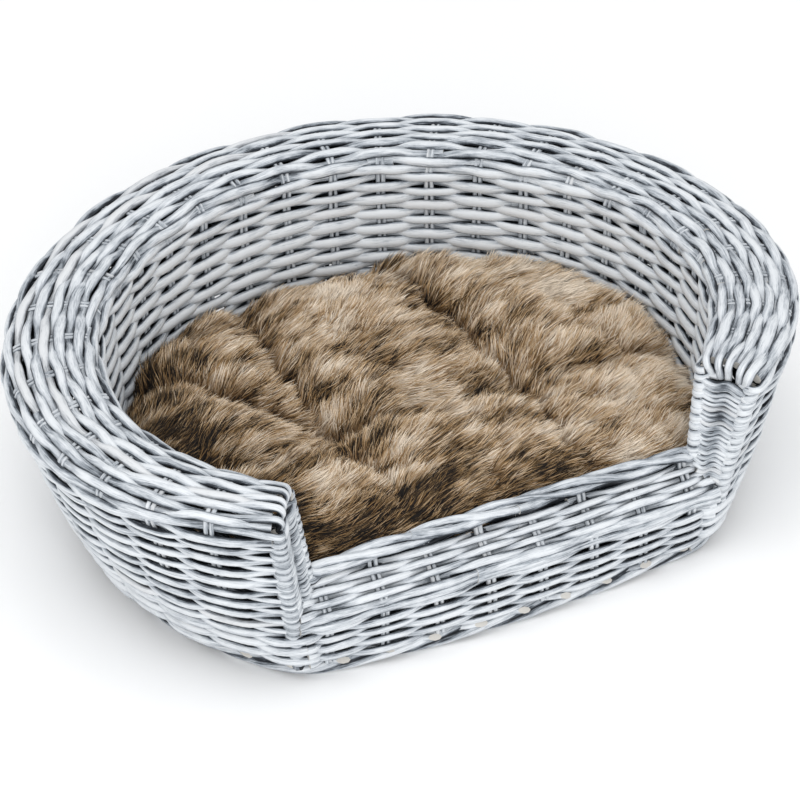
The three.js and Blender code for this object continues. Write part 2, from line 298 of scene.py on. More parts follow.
# Painted light: the inner wall's copy is made lighter, to make up for the shade that falls on that
# wall.
WILLOW_PAINTED_LIGHT = willow("inside_willow_painted_light", 1.2)
floor.data.materials.append(floor_material())
print("materials", WILLOW.name, WILLOW_FINE.name, WILLOW_PAINTED_LIGHT.name)

# %% [markdown]
# ## A rod
# Every weaver, stake and post is a tube of oval section that follows a line. Making the tubes as
# arrays of numbers is much faster than making them one vertex at a time, and lets every rod carry
# the numbers that its material needs. A cut end is a separate little disc.

# %% One rod
SIDES = 8
ROUND = np.linspace(0, 2 * math.pi, SIDES, endpoint=False)
dice = np.random.default_rng(20)


def unit(vectors):
    return vectors / np.maximum(np.linalg.norm(vectors, axis=-1, keepdims=True), 1e-9)


def distances(points):
    """How far along a line each of its points is."""
    steps = np.linalg.norm(np.diff(points, axis=0), axis=1)
    return np.concatenate([[0], np.cumsum(steps)])


def pointing(angle):
    """Level directions at angles, which count from +X towards +Y."""
    return np.stack([np.cos(angle), np.sin(angle), 0 * angle], 1)


def rod(points, outward, wide, deep, lift=0.0, slant=0.0):
    """One tube: wide across the weave and deep through it. outward is one direction or one for each
    point, lift is -1 in a dip and 1 on a crown and sets how much painted shade the rod gets there, and
    slant is how far its last end is cut askew."""
    count = len(points)
    wide = np.broadcast_to(wide, count)[:, None, None]
    deep = np.broadcast_to(deep, count)[:, None, None]
    lift = np.broadcast_to(lift, count)[:, None]
    run = unit(np.gradient(points, axis=0))
    outward = unit(outward - (outward * run).sum(1, keepdims=True) * run)
    side = np.cross(outward, run)
    across = np.cos(ROUND)[None, :, None]
    through = np.sin(ROUND)[None, :, None]
    skin = points[:, None] + side[:, None] * across * wide + outward[:, None] * through * deep
    skin[-1] -= slant * deep[-1] * np.sin(ROUND)[:, None] * run[-1]
    tone = dice.random()
    grain = np.empty((count, SIDES, 3))
    grain[..., 0] = distances(points)[:, None] + 10 * tone
    grain[..., 1] = across[..., 0] + 7 * tone
    grain[..., 2] = through[..., 0]
    # Paint and painted shade: the rod is lighter on its front and on crowns, and painted dark on its
    # back and in dips, as shade between the rods.
    exposed = np.clip((0.18 + 0.87 * through[..., 0]) * (0.72 + 0.28 * lift), 0, 1)
    return {"skin": skin, "grain": grain, "exposed": exposed, "tone": tone}


# %% Meshes from rods
def tube_faces(rings, sides):
    """Corner numbers of the faces between rings of points that follow each other."""
    ring = np.arange(rings - 1)[:, None] * sides
    here = np.arange(sides)[None]
    after = (here + 1) % sides
    corners = [ring + here, ring + after, ring + sides + after, ring + sides + here]
    return np.stack(corners, -1).reshape(-1, 4)


def face_numbers(rods):
    """Corner numbers of every tube's sides and of its two end discs."""
    quads, discs, start = [], [], 0
    for each in rods:
        count = len(each["skin"])
        quads.append(tube_faces(count, SIDES) + start)
        discs.append(np.arange(SIDES)[::-1] + start + count * SIDES)
        discs.append(np.arange(SIDES) + start + (count + 1) * SIDES)
        start += (count + 2) * SIDES
    return np.concatenate(quads), np.array(discs)


def mesh_from(name, points, faces, smooth, values):
    """A mesh object from arrays. faces is a list of arrays, one for each number of corners."""
    mesh = bpy.data.meshes.new(name)
    mesh.vertices.add(len(points))
    mesh.vertices.foreach_set("co", np.asarray(points, np.float32).ravel())
    corners = np.concatenate([f.ravel() for f in faces]).astype(np.int32)
    sizes = np.concatenate([np.full(len(f), f.shape[1]) for f in faces])
    mesh.loops.add(len(corners))
    mesh.loops.foreach_set("vertex_index", corners)
    mesh.polygons.add(len(sizes))
    starts = np.concatenate([[0], np.cumsum(sizes)[:-1]]).astype(np.int32)
    mesh.polygons.foreach_set("loop_start", starts)
    mesh.polygons.foreach_set("use_smooth", np.concatenate(smooth))
    for key, value in values.items():
        vector = value.ndim == 2
        made = mesh.attributes.new(key, "FLOAT_VECTOR" if vector else "FLOAT", "POINT")
        made.data.foreach_set("vector" if vector else "value", value.astype(np.float32).ravel())
    mesh.update(calc_edges=True)
    mesh.validate()
    piece = bpy.data.objects.new(name, mesh)
    bpy.context.scene.collection.objects.link(piece)
    return piece


def bundle(name, rods, nodes, body="basket", material=None):
    """Joins rods into one piece of the bed, which stands for the plain model's nodes."""
    def gather(key):
        return np.concatenate([
            np.concatenate([r[key], r[key][:1], r[key][-1:]]).reshape(-1, *r[key].shape[2:])
            for r in rods
        ])

    quads, discs = face_numbers(rods)
    tone = np.concatenate([np.full((len(r["skin"]) + 2) * SIDES, r["tone"]) for r in rods])
    cut = np.concatenate([
        np.repeat([0, 1], [len(r["skin"]) * SIDES, 2 * SIDES]) for r in rods
    ]).astype(float)
    smooth = [np.ones(len(quads), bool), np.zeros(len(discs), bool)]
    values = {"grain": gather("grain"), "exposed": gather("exposed"), "tone": tone, "cut": cut}
    piece = mesh_from(name, gather("skin"), [quads, discs], smooth, values)
    piece.data.materials.append(material or WILLOW)
    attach(piece, body)
    if nodes:
        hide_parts(*nodes)
    print(name, len(rods), "rods", len(quads), "faces")
    return piece


# %% [markdown]
# ## The plan of the basket
# Seen from above, each level of the wall is half an ellipse behind the widest line and another in
# front of it. A level is kept as five numbers: its half axes to the side, back and front, the angle
# where the arm ends, and its height. Blending two levels gives every level between them.

# %% Levels of the wall
CENTRE_Y = -0.05
WALL = 0.007
HALF_WALL = WALL / 2
WALL_STAKES = sum(name.startswith("wall_stake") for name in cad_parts)
SPANS = WALL_STAKES + 1

shoulder_side = high("rim_weave_right")[0]
shoulder_back = high("rim_weave_back")[1] - CENTRE_Y
base_side = high("base_border")[0]
base_back = high("base_border")[1] - CENTRE_Y
floor_top = high("base_weave")[2]


def level(side, back, front, end, height):
    return np.array([side, back, front, end, height])


BASE = level(base_side, base_back, 0.212, 46.2, 0.0)
SHOULDER = level(shoulder_side, shoulder_back, 0.2205, 50.2, 0.146)
RIM_EDGE = level(0.219, 0.205, 0.184, 44.6, 0.146)
FLOOR_EDGE = level(0.207, 0.193, 0.190, 46.6, floor_top)
WALL_BULGE = level(0.0042, 0.004, 0.0008, 0, 0)


def inset(ring, amount):
    """The same level, drawn in by an amount."""
    return ring - np.array([amount, amount, amount, 0, 0])


def outer_level(height):
    share = height / SHOULDER[4]
    ring = BASE + (SHOULDER - BASE) * share + WALL_BULGE * 4 * share * (1 - share)
    return inset(ring, HALF_WALL)


def inner_level(height):
    share = (height - floor_top) / (RIM_EDGE[4] - floor_top)
    return inset(FLOOR_EDGE + (RIM_EDGE - FLOOR_EDGE) * share, -HALF_WALL)


def rim_level(share, height):
    ring = SHOULDER + (RIM_EDGE - SHOULDER) * share
    ring[4] = height
    return ring


# %% Section of the weave
# It goes up the outer wall, over the rim and down the inner wall.
SECTION = np.array([
    *[outer_level(h) for h in (0.016, 0.04, 0.07, 0.1, 0.126)],
    inset(rim_level(0.0, 0.137), 0.0035),
    inset(rim_level(0.08, 0.1455), 0.001),
    rim_level(0.26, 0.1495),
    rim_level(0.5, 0.1515),
    rim_level(0.75, 0.151),
    rim_level(0.93, 0.1475),
    inset(rim_level(1.0, 0.14), -0.0015),
    *[inner_level(h) for h in (0.122, 0.09, 0.06, 0.016)],
])
section_run = distances(SECTION[:, [0, 4]])
CURVE_STEP = 0.0008


def smooth_line(stations, values, at):
    """A smooth curve through values at stations (a Catmull-Rom spline), read at the given places."""
    slopes = np.gradient(values, stations, axis=0)
    place = np.clip(np.searchsorted(stations, at, side="right") - 1, 0, len(stations) - 2)
    gap = (stations[place + 1] - stations[place])[:, None]
    t = ((at - stations[place]) / gap[:, 0])[:, None]
    a, b = values[place], values[place + 1]
    m, n = slopes[place] * gap, slopes[place + 1] * gap
    return (
        (2 * t**3 - 3 * t**2 + 1) * a + (t**3 - 2 * t**2 + t) * m
        + (-2 * t**3 + 3 * t**2) * b + (t**3 - t**2) * n
    )


def curve_at(stations, values, run):
    """A smooth curve at distances along it, and which way it goes there."""
    ahead = smooth_line(stations, values, np.minimum(run + CURVE_STEP, stations[-1]))
    behind = smooth_line(stations, values, np.maximum(run - CURVE_STEP, 0))
    return smooth_line(stations, values, run), ahead - behind


def section_at(run):
    """Level and tilt of the weave at a distance up, over and down its section."""
    here, along = curve_at(section_run, SECTION, np.atleast_1d(run))
    return here, np.arctan2(-along[:, 0], along[:, 4])


def around(rings, shares):
    """Points and flat outward directions at shares of the way round, for a level or one per share."""
    rings = np.broadcast_to(rings, (len(shares), 5))
    angle = np.radians(-rings[:, 3] + (180 + 2 * rings[:, 3]) * shares)
    depth = np.where(np.sin(angle) > 0, rings[:, 1], rings[:, 2])
    x = rings[:, 0] * np.cos(angle)
    y = CENTRE_Y + depth * np.sin(angle)
    out = unit(np.stack([np.cos(angle) / rings[:, 0], np.sin(angle) / depth, 0 * x], 1))
    return np.stack([x, y, rings[:, 4]], 1), out


print("section is", round(section_run[-1] * 1000), "mm long")

# %% [markdown]
# ## Weavers
# A plain weave takes each weaver in front of one stake and behind the next, and the next row does the
# opposite. The weaver's line therefore swings from side to side of the wall once in every two stakes.
# No two rods are alike, so each gets a thickness, a slow wander and a taper of its own. A rod is not
# long enough to go all the way round: it ends behind a stake, where the next one has started.

# %% How a weaver strays, ends and turns
SWING = 0.0033
STEPS = 8
FREE_END = 0.27
STRAY = 0.0005
HOOK_RADIUS = 0.0040
HOOK_ANGLES = np.radians([22, 44, 66, 88, 110, 132])
CALM = 0.9
SLIM_TURN = 0.3
DIP_SHARPNESS = 1.8
THICKNESS = 0.07
# Lengths of the slow waves, counted in stakes.
STRAY_LENGTH = 3.0
WOBBLE_LENGTH = 5.0
JITTER_LENGTH = 1.7
THICKNESS_LENGTH = 2.3


def wander(places, size, length):
    """A slow random wave, for thickness and for how a rod strays from its row."""
    phase = dice.random(3) * 2 * math.pi
    speed = 2 * math.pi / (length * np.array([1.0, 0.61, 0.37]))
    return size * sum(w * np.sin(places * s + p) for w, s, p in zip((0.5, 0.3, 0.2), speed, phase))


def hook(points, outward, tail):
    """Bends a row's end round its post, which stands just inside the row."""
    run = unit(points[-1:] - points[-2:-1])
    out = outward[-1:]
    angle = HOOK_ANGLES[:, None]
    bent = points[-1:] + HOOK_RADIUS * (np.sin(angle) * run + (np.cos(angle) - 1) * out)
    turned = np.cos(angle) * out + np.sin(angle) * run
    last = bent[-1:] - out * tail - run * tail * 0.3
    return np.concatenate([points, bent, last]), np.concatenate([outward, turned, turned[-1:]])


def joints(first, last, odd, rows_apart=(8, 15)):
    """Stakes where one rod of a row ends and the next starts, all on the hidden side."""
    places, at = [], first + int(dice.integers(2, 9))
    while at < last - 2:
        places.append(at + (at + odd + 1) % 2)
        at += int(dice.integers(*rows_apart))
    return places


def swing_of(places, odd):
    """1 on a crown and -1 behind a stake. The crowns are long and flat, and the dips short."""
    dip = (0.5 - 0.5 * np.cos(math.pi * (places + odd))) ** DIP_SHARPNESS
    return 1 - 2 * dip


# %% Weaver along a row
def row(
    line, first, last, odd, wide, deep,
    swing=SWING, wobble=0.0006, tail=0.002, posts=None, short=0.0,
):
    """All rods of one row between two posts. line gives points and outward directions at places.
    A row that comes to a post from outside turns round it; one that comes from inside stops there,
    short of it by a share of a span. tail is None where the row just stops."""
    made = []
    stops = [first, *joints(first, last, odd), last]
    for begin, end in zip(stops[:-1], stops[1:]):
        start, stop = begin - FREE_END, end + FREE_END
        turns = {}
        if begin == first:
            turns[0] = tail is not None and swing_of(first, odd) > 0
            start = first + (0 if turns[0] else short)
        if end == last:
            turns[-1] = tail is not None and swing_of(last, odd) > 0
            stop = last - (0 if turns[-1] else short)
        places = np.linspace(start, stop, int((stop - start) * STEPS) + 1)
        points, outward = line(places)
        lift = swing_of(places, odd)
        run = unit(np.gradient(points, axis=0))
        up = np.cross(outward, run)
        height = swing * lift + wander(places, STRAY, STRAY_LENGTH)
        drift = wander(places, wobble, WOBBLE_LENGTH)
        drift = drift + wander(places, wobble * 0.6, JITTER_LENGTH)
        points = points + outward * height[:, None] + up * drift[:, None]
        taper = np.linspace(1.06, 0.9, len(places))
        taper = taper * (1 + wander(places, THICKNESS, THICKNESS_LENGTH))
        size = dice.normal(1, 0.08) * taper * (1 + 0.2 * np.abs(lift))
        pad = [0, 0]
        for tip, turned in turns.items():
            if not turned:
                continue
            near = np.clip(1 - np.abs(places - places[tip]) / CALM, 0, 1)
            size = size * (1 - SLIM_TURN * near)
            if posts is not None:
                gap = posts(points[tip]) + outward[tip] * HOOK_RADIUS - points[tip]
                points = points + gap * [1, 1, 0] * (near * near * (3 - 2 * near))[:, None]
        for tip, turned in turns.items():
            if turned:
                way = 1 if tip else -1
                points, outward = (p[::way] for p in hook(points[::way], outward[::way], tail))
                pad[tip] = len(HOOK_ANGLES) + 1
        size = np.pad(size, pad, mode="edge")
        lift = np.pad(lift, pad, mode="edge")
        made.append(rod(points, outward, wide * size, deep * size, lift * min(1.0, swing / SWING)))
    return made


# %% [markdown]
# ## The posts
# Each arm of the basket ends in a narrow face between two corner posts. The weavers of the outer wall
# turn round the outer post and those of the inner wall round the inner one. A post is a stake bound
# with fine willow. The left arm is the mirror image of the right one, so the posts are measured once.

# %% Posts
POST_RADIUS = 0.0048
BOUND_RADIUS = 0.0063
BINDING_PITCH = 0.0062
BINDING_DEEP = 0.0016
BINDING_STEPS = 12
# The outer post leans a little more than its box: its foot further in and back, its head forward.
FOOT_IN = 0.0015
FOOT_BACK = 0.0045
HEAD_FORWARD = 0.001
MIRROR = np.array([-1, 1, 1])
ARMS = {"right": np.ones(3), "left": MIRROR}

outer_low, outer_high = low("outer_post_right"), high("outer_post_right")
inner_low, inner_high = low("inner_post_right"), high("inner_post_right")
edge = POST_RADIUS
OUTER_POST = np.array([
    [outer_low[0] + edge - FOOT_IN, outer_high[1] - edge + FOOT_BACK, outer_low[2]],
    [outer_high[0] - edge, outer_low[1] + edge - HEAD_FORWARD, outer_high[2]],
])
INNER_POST = np.array([
    [inner_low[0] + edge, inner_low[1] + edge, inner_low[2]],
    [inner_high[0] - edge, inner_high[1] - edge, inner_high[2]],
])


def post_at(post, height):
    foot, head = post
    share = (np.asarray(height) - foot[2]) / (head[2] - foot[2])
    return foot + np.multiply.outer(share, head - foot)


def beside(post):
    """The post's axis level with a point, on the point's own side of the basket."""
    def axis(point):
        place = post_at(post, point[2])
        return place * MIRROR if point[0] < 0 else place

    return axis


def bound_post(post, mirror):
    """A post's stake, and the fine willow that is wound round it."""
    foot, head = post
    turns = np.linalg.norm(head - foot) / BINDING_PITCH
    angle = np.linspace(0, 2 * math.pi * turns, int(turns * BINDING_STEPS))
    spoke = pointing(angle)
    core_radius = BOUND_RADIUS - BINDING_DEEP
    line = foot + np.linspace(0, 1, len(angle))[:, None] * (head - foot)
    binding = line + spoke * core_radius
    core = foot + np.linspace(-0.02, 1.0, 12)[:, None] * (head - foot)
    swell = 1 + wander(angle, 0.12, 9.0)
    wide = BINDING_PITCH * 0.52 * swell
    return [
        rod(binding * mirror, spoke * mirror, wide, BINDING_DEEP * swell, 0.4),
        rod(core * mirror, mirror * [1.0, 0, 0], core_radius, core_radius, -0.6),
    ]


for side, mirror in ARMS.items():
    for kind, post in (("outer", OUTER_POST), ("inner", INNER_POST)):
        post_rods = bound_post(post, mirror)
        bundle(f"bound_{kind}_post_{side}", post_rods, [f"{kind}_post_{side}"])

# %% [markdown]
# ## The line of the front wall
# The front wall is low and bows out a little. At the fold it turns back and slopes up to the sill,
# the soft-edged lip over which an animal steps in, and behind that it drops to the floor. A level of
# the front is kept as its half width, its place from front to back at its ends, how far its middle
# bows out, and its height.

# %% Levels of the front
FRONT_STAKES = sum(name.startswith("front_stake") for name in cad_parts)
FRONT_SPANS = FRONT_STAKES + 1
LOOP = SPANS + FRONT_SPANS
fold_height = high("front_wall")[2] + 0.008
sill_edge_y = high("sill_weave")[1]
sill_top = high("sill_weave")[2]
front_ends = -0.2082

FRONT = np.array([
    [0.1550, front_ends + 0.003, 0.0100, 0.012],
    [0.1573, front_ends + 0.0025, 0.0072, 0.028],
    [0.1590, front_ends + 0.0015, 0.0045, 0.042],
    [0.1598, front_ends + 0.0013, 0.0034, fold_height - 0.002],
    [0.1590, front_ends + 0.0040, 0.0030, fold_height + 0.0035],
    [0.1560, front_ends + 0.0105, 0.0020, sill_top - 0.0185],
    [0.1520, front_ends + 0.0175, 0.0010, sill_top - 0.0095],
    [0.1500, sill_edge_y - 0.0025, 0.0003, sill_top - 0.0035],
    [0.1470, sill_edge_y - 0.0010, 0.0, sill_top - 0.0080],
    [0.1430, sill_edge_y - 0.0030, 0.0, 0.058],
    [0.1390, sill_edge_y - 0.0035, 0.0, 0.017],
])
front_run = distances(FRONT[:, [1, 3]])
stake_box = [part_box(f"front_stake_{i + 1}") for i in range(FRONT_STAKES)]
stake_x = np.sort([(b[0][0] + b[1][0]) / 2 for b in stake_box])


def front_points(levels, places):
    """Points of the front at places, which count stakes from the left end of the front."""
    levels = np.broadcast_to(levels, (len(places), 4))
    half = levels[:, 0]
    knots = np.arange(1, FRONT_STAKES + 1)
    inner = np.interp(places, knots, stake_x)
    x = np.where(places < 1, -half + (stake_x[0] + half) * places, inner)
    to_end = FRONT_SPANS - places
    x = np.where(to_end < 1, half - (half - stake_x[-1]) * to_end, x)
    bow = levels[:, 2] * (1 - (x / half) ** 2)
    return np.stack([x, levels[:, 1] - bow, levels[:, 3]], 1)


def front_section(run):
    """Level of the front at distances along its section, and the way that faces out of the weave."""
    here, along = curve_at(front_run, FRONT, np.atleast_1d(run))
    return here, unit(np.stack([0 * here[:, 3], -along[:, 3], along[:, 1]], 1))


print("front section is", round(front_run[-1] * 1000), "mm long")

# %% [markdown]
# ## The walls
# The rows follow each other up the outer wall, over the rim and down the inner wall without a break.
# They are packed tight on the walls, and laid a little apart on the rim, where the stakes show
# through. Above the fold a row runs from one corner post to the other. Below it every other row goes
# on round the corner, and ends behind the first stake of the front.

# %% Rows of the double wall
OUTER_PITCH = 0.0054
RIM_PITCH = 0.0056
INNER_PITCH = 0.0061
CORNER_BLUR = 5
BELOW_FOLD = 0.003
BELOW_POST = 0.004
BACK_FROM = 42

rim_from = section_run[5] - 0.002
rim_to = section_run[11]
outer_rows = np.arange(OUTER_PITCH / 2, rim_from - RIM_PITCH / 2, OUTER_PITCH)
rim_rows = np.linspace(rim_from, rim_to, int((rim_to - rim_from) / RIM_PITCH) + 1)
inner_rows = np.arange(rim_to + INNER_PITCH, section_run[-1], INNER_PITCH)


def wall_line(run):
    rings, tilts = section_at(run)

    def line(places):
        points, out = around(rings, places / SPANS)
        return points, out * math.cos(tilts[0]) + np.array([0, 0, math.sin(tilts[0])])

    return line


def soften_corners(values):
    """Averages each point of a line with its neighbours, and leaves the line's ends alone."""
    half = CORNER_BLUR // 2
    kernel = np.ones(CORNER_BLUR) / CORNER_BLUR
    padded = np.pad(values, ((half, half), (0, 0)), mode="edge")
    soft = np.stack([np.convolve(padded[:, k], kernel, "valid") for k in range(3)], 1)
    values[half:-half] = soft[half:-half]


def loop_line(run):
    """A line that goes on at one height from the side walls on to either end of the front."""
    rings, _ = section_at(run)
    height = rings[0, 4]
    at = np.interp(height, FRONT[:5, 3], front_run[:5])
    levels, front_out = front_section(at)

    def line(places):
        places = places % LOOP
        points, out = around(rings, np.clip(places / SPANS, 0, 1))
        fronts = front_points(levels, np.clip(places - SPANS, 0, FRONT_SPANS))
        on_front = places > SPANS
        points = np.where(on_front[:, None], fronts, points)
        out = np.where(on_front[:, None], front_out, out)
        for each in (points, out):
            soften_corners(each)
        return points, unit(out)

    return line


def side_of(each):
    """Which part of the wall a rod belongs to, from its middle."""
    middle = each["skin"][len(each["skin"]) // 2].mean(0)
    angle = math.degrees(math.atan2(middle[1] - CENTRE_Y, abs(middle[0])))
    return "back" if angle > BACK_FROM else ("right" if middle[0] > 0 else "left")


def weave_wall(name, runs, wide, deep, first_row, post=None, material=None, **how):
    """Weaves a wall row by row, and joins its rods into a left, a back and a right piece."""
    sides = {"right": [], "back": [], "left": []}
    for number, run in enumerate(runs):
        odd = (number + first_row) % 2
        height = section_at(run)[0][0, 4]
        if post is OUTER_POST and height < fold_height - BELOW_FOLD:
            reach = 1 - odd
            rods = row(loop_line(run), -reach, SPANS + reach, odd, wide, deep, tail=None)
        else:
            below = post is INNER_POST and height < INNER_POST[0, 2] - BELOW_POST
            about = beside(post) if post is not None and not below else None
            rods = row(wall_line(run), 0, SPANS, odd, wide, deep, posts=about, **how)
        for each in rods:
            sides[side_of(each)].append(each)
    for where, rods in sides.items():
        bundle(f"woven_{name}_{where}", rods, [f"{name}_{where}"], material=material)


start_inner = len(outer_rows) + len(rim_rows)
weave_wall("outer_wall", outer_rows, OUTER_PITCH * 0.61, 0.0020, 0, OUTER_POST)
rim_how = {"swing": 0.0022, "wobble": 0.0018, "tail": 0.009, "short": 0.06}
weave_wall("rim_weave", rim_rows, 0.0034, 0.0026, len(outer_rows), **rim_how)
# The inner wall gets the copy of the willow that is painted lighter, as painted light.
weave_wall("inner_wall", inner_rows, INNER_PITCH * 0.62, 0.0021, start_inner, INNER_POST, WILLOW_PAINTED_LIGHT)

# %% [markdown]
# ## The front and the sill
# The front is woven of thinner rods than the sides. Two thick ones mark the fold, and the fine rows
# carry on up the slope of the sill. Three more thick rods are laid loosely round each other along its
# inner edge, and plain rows go on down behind it.

# %% Front wall, sill and the wall behind it
FINE_PITCH = 0.0039
FINE_WIDE, FINE_DEEP, FINE_SWING = 0.0024, 0.0018, 0.0028
THICK_WIDE, THICK_DEEP, THICK_SWING = 0.0031, 0.0027, 0.0012
FRONT_FOOT = 0.0145
PLAIT_EVERY = 3.4
PLAIT_WIDE, PLAIT_DEEP = 0.0038, 0.0018
PLAIT_STARTS = (0.5, 2.6, 4.7)
CREST_OUT = unit(np.array([[0, -0.45, 0.9]]))
CREST_ARCH = 0.0045
# How far the rows keep from the fold, below it and above it, and from the crest, before and behind.
UNDER_FOLD, OVER_FOLD = 0.0045, 0.001
BEFORE_CREST, BEHIND_CREST = 0.0055, 0.005


def front_line(run, proud=0.0, plait=None):
    """A line along the front. A plaited one arches a little, and winds across its row as it goes,
    starting at an angle."""
    levels, out = front_section(run)
    if plait is not None:
        out = CREST_OUT
    slope = out[:, [0, 2, 1]] * [1, 1, -1]

    def line(places):
        points = front_points(levels, places) + out * proud
        if plait is not None:
            turn = (2 * math.pi * places / PLAIT_EVERY + plait)[:, None]
            points = points + slope * PLAIT_WIDE * np.cos(turn) + out * PLAIT_DEEP * np.sin(turn)
            points[:, 2] += CREST_ARCH * (1 - (2 * places / FRONT_SPANS - 1) ** 2)
        return points, np.broadcast_to(out, points.shape)

    return line


def front_row(run, odd, wide, deep, swing, wobble, proud=0.0, plait=None, short=-0.07):
    """All rods of one row of the front, which just stops at either end."""
    line = front_line(run, proud, plait)
    return row(line, 0, FRONT_SPANS, odd, wide, deep, swing, wobble, tail=None, short=short)


# %% Weave the front
fold_run = front_run[3]
sill_run = front_run[7]
front_heights = np.arange(FRONT_FOOT, fold_height - UNDER_FOLD, FINE_PITCH)
front_rows = np.interp(front_heights, FRONT[:4, 3], front_run[:4])
sill_rows = np.arange(front_run[4] + OVER_FOLD, sill_run - BEFORE_CREST, FINE_PITCH)
behind_rows = np.arange(sill_run + BEHIND_CREST, front_run[-1], INNER_PITCH)
front_rods, sill_rods, behind_rods = [], [], []
for number, run in enumerate(front_rows):
    front_rods += front_row(run, number % 2, FINE_WIDE, FINE_DEEP, FINE_SWING, 0.0005, short=0.04)
for run in (fold_run - 0.0022, fold_run + 0.0026):
    front_rods += front_row(run, 1, THICK_WIDE, THICK_DEEP, THICK_SWING, 0.0007, 0.0006)
for number, run in enumerate(sill_rows):
    sill_rods += front_row(run, number % 2, FINE_WIDE, FINE_DEEP, FINE_SWING, 0.0008)
for plait in PLAIT_STARTS:
    sill_rods += front_row(sill_run, 0, THICK_WIDE, THICK_DEEP, 0.0004, 0.0008, 0.001, plait)
for number, run in enumerate(behind_rows):
    behind_rods += front_row(run, number % 2, INNER_PITCH * 0.6, 0.0021, FINE_SWING, 0.0006)
bundle("woven_front_wall", front_rods, ["front_wall"])
bundle("woven_sill", sill_rods, ["sill_weave"])
bundle("woven_behind_sill", behind_rods, ["sill_inner_wall"])

# %% [markdown]
# ## The ends of the arms
# The narrow face between the two posts of each arm is filled with fine willow, wound to and fro from
# post to post. The rods dip between the posts and rise over each of them, so the face is ribbed.

# %% Cheek weave
CHEEK_PITCH = 0.0038
CHEEK_ROD = 0.0019
CHEEK_PROUD = 0.0026
# The ribs: how long and how high one is, where the first starts, and how far a rod slants on it.
RIB_LENGTH, RIB_HEIGHT, RIB_START, RIB_SLANT = 0.62, 0.0011, 0.22, 0.0016
CORE_RADIUS = 0.0028
sill_slope = (sill_top - fold_height) / (sill_edge_y - front_ends)
cheek_share = np.linspace(0, 1, 15)
cheek_from = fold_height + 0.002
cheek_to = 0.136

for side, mirror in ARMS.items():
    cheek_rods = []
    for height in np.arange(cheek_from, cheek_to, CHEEK_PITCH):
        outer = post_at(OUTER_POST, height)
        inner = post_at(INNER_POST, height)
        flat = unit(inner - outer)
        reach = (height - fold_height) / sill_slope + front_ends
        share = min(1.0, (reach - outer[1]) / (inner[1] - outer[1]) + 0.12)
        if share < 0.25:
            continue
        facing = np.array([-flat[1], flat[0], 0])
        turn = 2 * math.pi * (cheek_share * share - RIB_START) / RIB_LENGTH
        ribs = np.cos(turn)
        line = outer + cheek_share[:, None] * share * (inner - outer)
        line = line + facing * (CHEEK_PROUD + RIB_HEIGHT * ribs)[:, None]
        line[:, 2] += RIB_SLANT * np.sin(turn) + wander(cheek_share, 0.0006, 0.8)
        top_rod = height > cheek_to - CHEEK_PITCH
        width = CHEEK_ROD * (1.5 if top_rod else dice.normal(1, 0.06))
        cheek_rods.append(rod(line * mirror, facing * mirror, width * 1.05, width * 0.95, ribs * 0.7))
    # A stake stands behind the rods, midway between the posts, and is painted dark as shade behind
    # them.
    heights = np.array([0.06, 0.135])
    middle = (post_at(OUTER_POST, heights) + post_at(INNER_POST, heights)) / 2 + [0.003, 0.003, 0]
    line = middle[0] + np.linspace(0, 1, 10)[:, None] * (middle[1] - middle[0])
    cheek_rods.append(rod(line * mirror, [0, -1.0, 0], CORE_RADIUS, CORE_RADIUS, -1))
    bundle(f"woven_cheek_{side}", cheek_rods, [f"cheek_weave_{side}"], material=WILLOW_FINE)

# %% [markdown]
# ## Stakes
# The stakes are the uprights that the rows pass. Each is a pair of thin rods side by side, and follows
# the middle of the weave up the outer wall, over the rim and down to the floor inside. The light
# catches them in the gaps that the weavers leave beside them.

# %% Stakes
STAKE_RADIUS = 0.0018
STAKE_APART = 0.0019
STAKE_STRAY = 0.0007


def stake_pair(points, outward):
    """Two thin rods side by side along a line."""
    run = unit(np.gradient(points, axis=0))
    side = unit(np.cross(outward, run))
    pair = []
    for way in (-1, 1):
        strayed = wander(np.arange(len(points)), STAKE_STRAY, 20)[:, None]
        line = points + side * (way * STAKE_APART + strayed)
        pair.append(rod(line, outward, STAKE_RADIUS, STAKE_RADIUS, 0.25))
    return pair


def wall_stake(place):
    runs = np.linspace(0, section_run[-1], 60)
    rings, tilts = section_at(runs)
    points, out = around(rings, np.full(len(runs), place / SPANS))
    outward = out * np.cos(tilts)[:, None]
    outward[:, 2] = np.sin(tilts)
    return stake_pair(points, outward)


def front_stake(place):
    runs = np.linspace(0, front_run[-1], 30)
    levels, outward = front_section(runs)
    return stake_pair(front_points(levels, np.full(len(runs), place)), outward)


for number in range(1, WALL_STAKES + 1):
    node = f"wall_stake_{number}"
    bundle(f"stake_pair_{number}", wall_stake(number), [node], material=WILLOW_FINE)
for number in range(1, FRONT_STAKES + 1):
    node = f"front_stake_{number}"
    bundle(f"front_pair_{number}", front_stake(number), [node], material=WILLOW_FINE)

# %% [markdown]
# ## The base
# The bed stands on a border of thick rods, laid round each other like the strands of a rope. The cut
# ends of the stakes show in it as small pale ovals. The floor inside is a plain weave over sticks.

# %% Outline of the base
BORDER_INSET = 0.0068
CORNER_POINTS = 6
base_front = np.array([0.1535, front_ends + 0.0072, 0.0122, 0.0])


